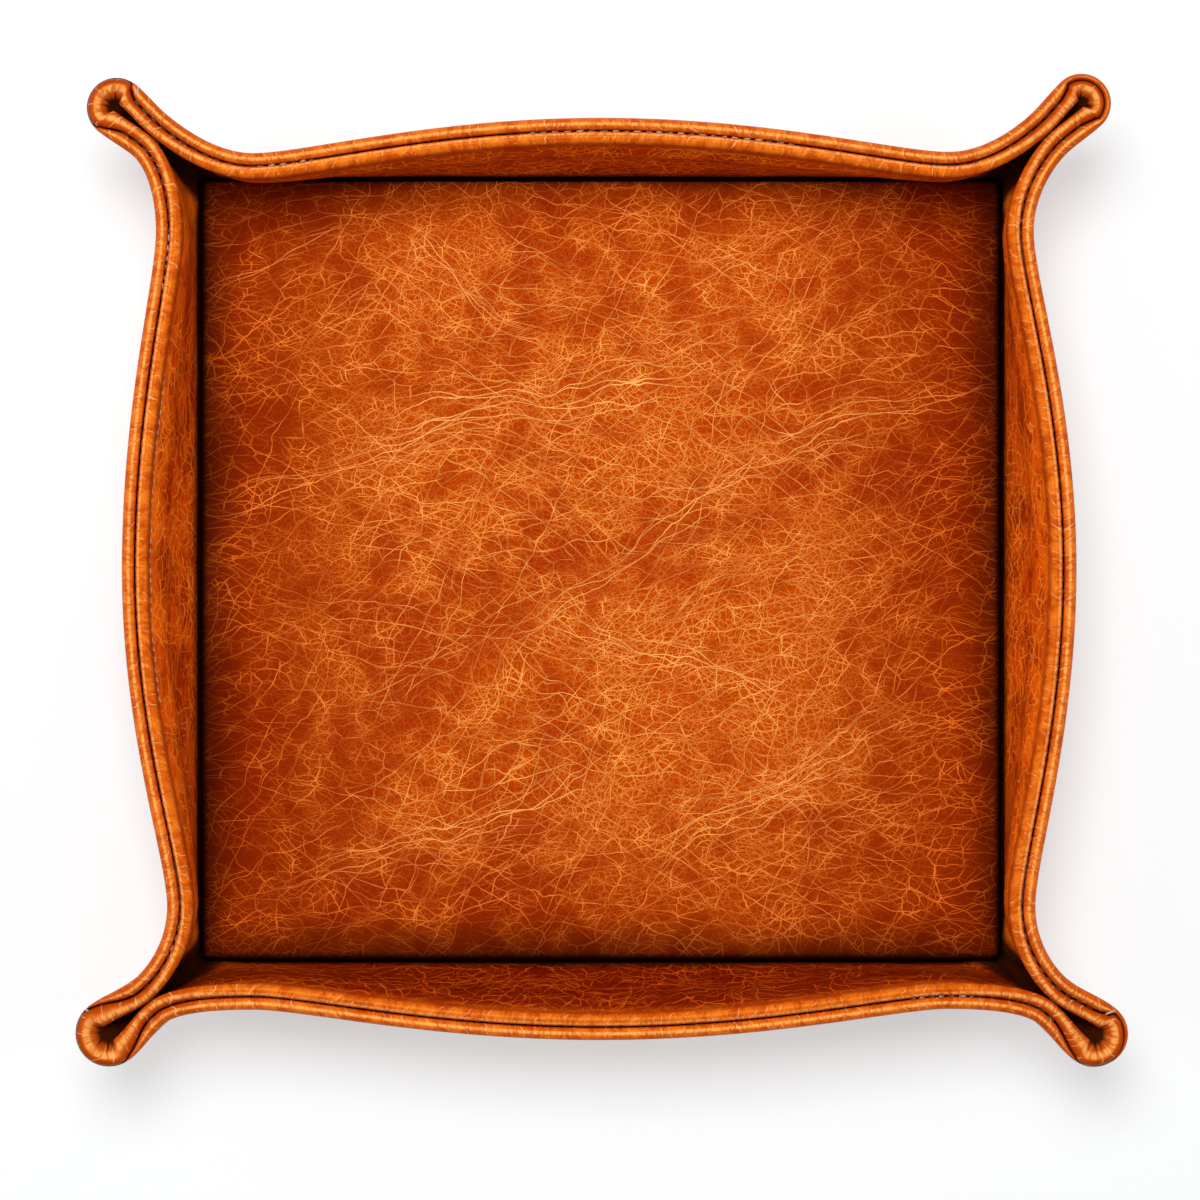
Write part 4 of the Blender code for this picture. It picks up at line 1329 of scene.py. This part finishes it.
def skin_surface(name, colours, inside):
    """Return a wall leather: streaked walls, lighter creased rolls, painted shade in groove,
    crease and folds.
    """
    recipe = Recipe(name)
    place = recipe.add("UVMap", {"uv_map": "Lengths"})
    travel = recipe.split(place)[1]
    solid = recipe.add("TexCoord", output=3)
    depth, level = recipe.split(solid)[1:]
    bent = recipe.warped(recipe.warped(place, 60, 0.0035), 300, 0.0010)
    ear = recipe.add("Attribute", {"attribute_name": "ear"}, output=2)
    colour = wall_colour(recipe, bent, travel, depth, ear, colours, inside)
    roll, hatch = roll_colour(recipe, bent, travel, depth, ear, colours, inside)
    on_roll = recipe.fading(abs(travel), 0.0026, 0.0066 if inside else 0.0040)
    colour = recipe.blend(on_roll, colour, roll)
    shut_here = recipe.add("Attribute", {"attribute_name": "closed_groove"}, output=2)
    # Painted shade deep in the groove between the rolls, fading where the groove shuts
    groove = recipe.stepped(travel, 0.0020, 0.0026, 0.0, 0.97) * (1 - shut_here * 0.85)
    colour = recipe.blend(groove, colour, colours.painted_shade)
    if not inside:
        colour = recipe.blend(shut_here * on_roll * 0.85, colour, ROLL_SHADES.closed)
    rough = 0.28 + hatch * 0.10
    if inside:
        # Painted shade at the lining's foot, down in the crease round the floor panel
        foot = recipe.most(recipe.fading(level, 0.0072, 0.0090, 0.97),
                           recipe.fading(level, 0.0084, 0.0130, 0.70))
        colour = recipe.blend(foot, colour, colours.painted_shade)
        # Painted shade in the gathered ear tips, their pleats and down the ears' throats
        folds = recipe.add("Attribute", {"attribute_name": "folds"}, output=2)
        colour = recipe.blend(folds * 0.97, colour, WALL_SHADES.folds)
        rough = recipe.most(rough, folds * 0.9)
    height = (recipe.clouds(recipe.turned(place, 0, (1.0, 0.3, 1)), 700, 1.0) * 0.6
              + recipe.clouds(place, 1500, 1.0) * 0.2)
    return recipe.finish(colour, rough, height, 0.00012,
                         Specular_IOR_Level=0.30, Specular_Tint=WALL_SHADES.sheen)


def thread_surface(name, fresh):
    """Return waxed thread, its plies shown by fine slanting lines."""
    recipe = Recipe(name)
    place = recipe.add("TexCoord", output=3)
    soil = recipe.clouds(place, 400, 2.0)
    plies = recipe.clouds(recipe.turned(place, 0.8, (1, 3, 1)), 2600, 1.0)
    colour = recipe.blend(soil * 0.6, fresh, SOILED_THREAD)
    return recipe.finish(colour, 0.50 + plies * 0.2, plies, 0.0001, Specular_IOR_Level=0.2)


def plain_surface(name, first, second, scale, rough, relief):
    """Return a plain fibrous material for the parts inside the walls."""
    recipe = Recipe(name)
    place = recipe.add("TexCoord", output=3)
    fibres = recipe.clouds(recipe.turned(place, 0.4, (1, 2.5, 1)), scale, 4.0, 0.7)
    flecks = recipe.cracks(recipe.warped(place, scale / 3, 0.0010), scale / 4, 0.06)
    colour = recipe.blend(fibres, first, second)
    colour = recipe.blend(flecks * 0.25, colour, first)
    return recipe.finish(colour, rough + fibres * 0.1, fibres, relief)


class TrayOperator(bpy.types.Operator):
    """Base of the operators that make the tray's pieces."""

    bl_options = {"REGISTER", "UNDO"}

    def execute(self, context):
        """Make the pieces from the scene's coin tray settings."""
        tray = context.scene.coin_tray
        self.make(tray, rim_stations(tray.sizes))
        return {"FINISHED"}


class COINTRAY_OT_outer_leather(TrayOperator):
    """Make the outer leather with its outer roll"""

    bl_idname = "cointray.outer_leather"
    bl_label = "Outer leather"

    def make(self, tray, stations):
        piece = outer_leather(stations, tray.sizes)
        surface = skin_surface("cover_leather", tray.colours, False)
        dress(piece, surface, "cover_leather", "outer_cover")


class COINTRAY_OT_lining(TrayOperator):
    """Make the lining with its inner roll and gathered ear tips"""

    bl_idname = "cointray.lining"
    bl_label = "Lining"

    def make(self, tray, stations):
        piece = lining_leather(stations, tray.sizes)
        surface = skin_surface("lining_leather", tray.colours, True)
        dress(piece, surface, "lining_leather", "wall_lining")


class COINTRAY_OT_floor_panel(TrayOperator):
    """Make the floor panel's crackled leather"""

    bl_idname = "cointray.floor_panel"
    bl_label = "Floor panel"

    def make(self, tray, stations):
        piece = floor_panel(tray.sizes)
        dress(piece, panel_surface(tray.colours), "panel_leather", "floor_panel_cover")


class COINTRAY_OT_rim_cords(TrayOperator):
    """Make the twisted cords inside the rolls"""

    bl_idname = "cointray.rim_cords"
    bl_label = "Rim cords"

    def make(self, tray, stations):
        sizes = tray.sizes
        surface = plain_surface("filler_cord", *CORD_FIBRES)
        level = sizes.tray_height - sizes.roll_radius
        centre = sizes.roll_radius + CLEARANCE / 2
        for name, offset, drop in (
                ("outer", centre + stations.shift * 0.5, stations.shift * 0.1),
                ("inner", -centre + stations.shift * 0.9, 0.0012 * stations.funnel)):
            cord = strand(name + "_cord", stations, sizes, offset, level - drop)
            dress(cord, surface, "filler_cord", name + "_rim_cord")


class COINTRAY_OT_stitches(TrayOperator):
    """Sew the groove between the rolls and the seam below them"""

    bl_idname = "cointray.stitches"
    bl_label = "Stitches"

    def make(self, tray, stations):
        surface = thread_surface("rim_thread", tray.threads.colour)
        piece = groove_stitches(stations, tray.sizes, tray.threads)
        dress(piece, surface, "waxed_thread", "rim_thread")
        surface = thread_surface("seam_thread", tray.threads.seam_colour)
        for inside, node in ((True, "topstitch_thread"), (False, "bobbin_thread")):
            piece = seam_stitches(stations, tray.sizes, tray.threads, inside)
            dress(piece, surface, "waxed_thread", node)
        for index, ear in enumerate(EARS):
            piece = corner_tack(stations, tray.sizes, tray.threads, index)
            dress(piece, surface, "waxed_thread", "corner_tack_" + ear[0])


class COINTRAY_OT_filling(TrayOperator):
    """Finish the boards and felts inside the tray"""

    bl_idname = "cointray.filling"
    bl_label = "Boards and felts"

    def make(self, tray, stations):
        for *fibres, starts in FILLINGS:
            surface = plain_surface(*fibres)
            for name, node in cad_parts.items():
                if name.startswith(starts):
                    node.data.materials.clear()
                    node.data.materials.append(surface)


def lamp(name, place, size, power):
    """Add a soft square lamp that faces the tray."""
    data = bpy.data.lights.new(name, "AREA")
    data.shape = "SQUARE"
    data.size = size
    data.energy = power
    made = bpy.data.objects.new(name, data)
    made.location = place
    made.rotation_euler = (-Vector(place)).to_track_quat("-Z", "Y").to_euler()
    bpy.context.collection.objects.link(made)


def paper_surface(stage):
    """Return the white surface. The camera sees it whiter than the light leaves it."""
    recipe = Recipe("paper")
    paper = recipe.add("BsdfDiffuse", None, {"Color": stage.paper})
    white = recipe.add("Emission", None, {"Color": (1, 1, 1), "Strength": 1.0})
    seen = recipe.add("LightPath")
    mixed = recipe.add("MixShader", None, {0: seen * stage.whiteness, 1: paper, 2: white})
    output = recipe.tree.nodes["Material Output"]
    recipe.feed(output.inputs["Surface"], mixed)
    return recipe.material


class COINTRAY_OT_stage(TrayOperator):
    """Set the paper, the lamps and the camera"""

    bl_idname = "cointray.stage"
    bl_label = "Stage"

    def make(self, tray, stations):
        stage = tray.stage
        sheet = bmesh.new()
        bmesh.ops.create_grid(sheet, x_segments=1, y_segments=1, size=PAPER_HALF)
        bmesh.ops.translate(sheet, vec=(0, 0, PAPER_LEVEL), verts=sheet.verts)
        mesh = bpy.data.meshes.new("paper")
        sheet.to_mesh(mesh)
        sheet.free()
        paper = bpy.data.objects.new("paper", mesh)
        bpy.context.collection.objects.link(paper)
        mesh.materials.append(paper_surface(stage))
        for name, (place, size, setting, share) in LAMPS.items():
            lamp(name, place, size, getattr(stage, setting) * share)
        world = bpy.data.worlds.new("surround")
        world.use_nodes = True
        light = world.node_tree.nodes["Background"].inputs
        light["Strength"].default_value = stage.surround
        light["Color"].default_value = (1, 1, 1, 1)
        bpy.context.scene.world = world
        data = bpy.data.cameras.new("camera")
        data.lens = stage.lens
        data.sensor_width = SENSOR_WIDTH
        camera = bpy.data.objects.new("camera", data)
        camera.location = (*CAMERA_PLACE, stage.camera_height)
        bpy.context.collection.objects.link(camera)
        bpy.context.scene.camera = camera
        bpy.context.scene.view_settings.view_transform = "Standard"


STEPS = (
    COINTRAY_OT_outer_leather,
    COINTRAY_OT_lining,
    COINTRAY_OT_floor_panel,
    COINTRAY_OT_rim_cords,
    COINTRAY_OT_stitches,
    COINTRAY_OT_filling,
    COINTRAY_OT_stage,
)


class COINTRAY_PT_sidebar(bpy.types.Panel):
    """The coin tray's settings and steps."""

    bl_idname = "COINTRAY_PT_sidebar"
    bl_label = "Coin tray"
    bl_space_type = "VIEW_3D"
    bl_region_type = "UI"
    bl_category = "Coin Tray"

    def draw(self, context):
        """List every group of settings, then every step."""
        tray = context.scene.coin_tray
        for group in (tray.sizes, tray.colours, tray.threads, tray.stage):
            box = self.layout.box()
            for name in group.__annotations__:
                box.prop(group, name)
        for step in STEPS:
            self.layout.operator(step.bl_idname)


CLASSES = (TraySizes, LeatherColours, ThreadSizes, StageSettings, CoinTray, *STEPS,
           COINTRAY_PT_sidebar)


def register():
    """Register the classes and the scene's coin tray settings."""
    for item in CLASSES:
        bpy.utils.register_class(item)
    bpy.types.Scene.coin_tray = bpy.props.PointerProperty(type=CoinTray)


def unregister():
    """Remove the settings and the classes."""
    del bpy.types.Scene.coin_tray
    for item in reversed(CLASSES):
        bpy.utils.unregister_class(item)


def main():
    """Make every piece in order."""
    register()
    for step in STEPS:
        family, name = step.bl_idname.split(".")
        getattr(getattr(bpy.ops, family), name)()


if __name__ == "__main__":
    main()
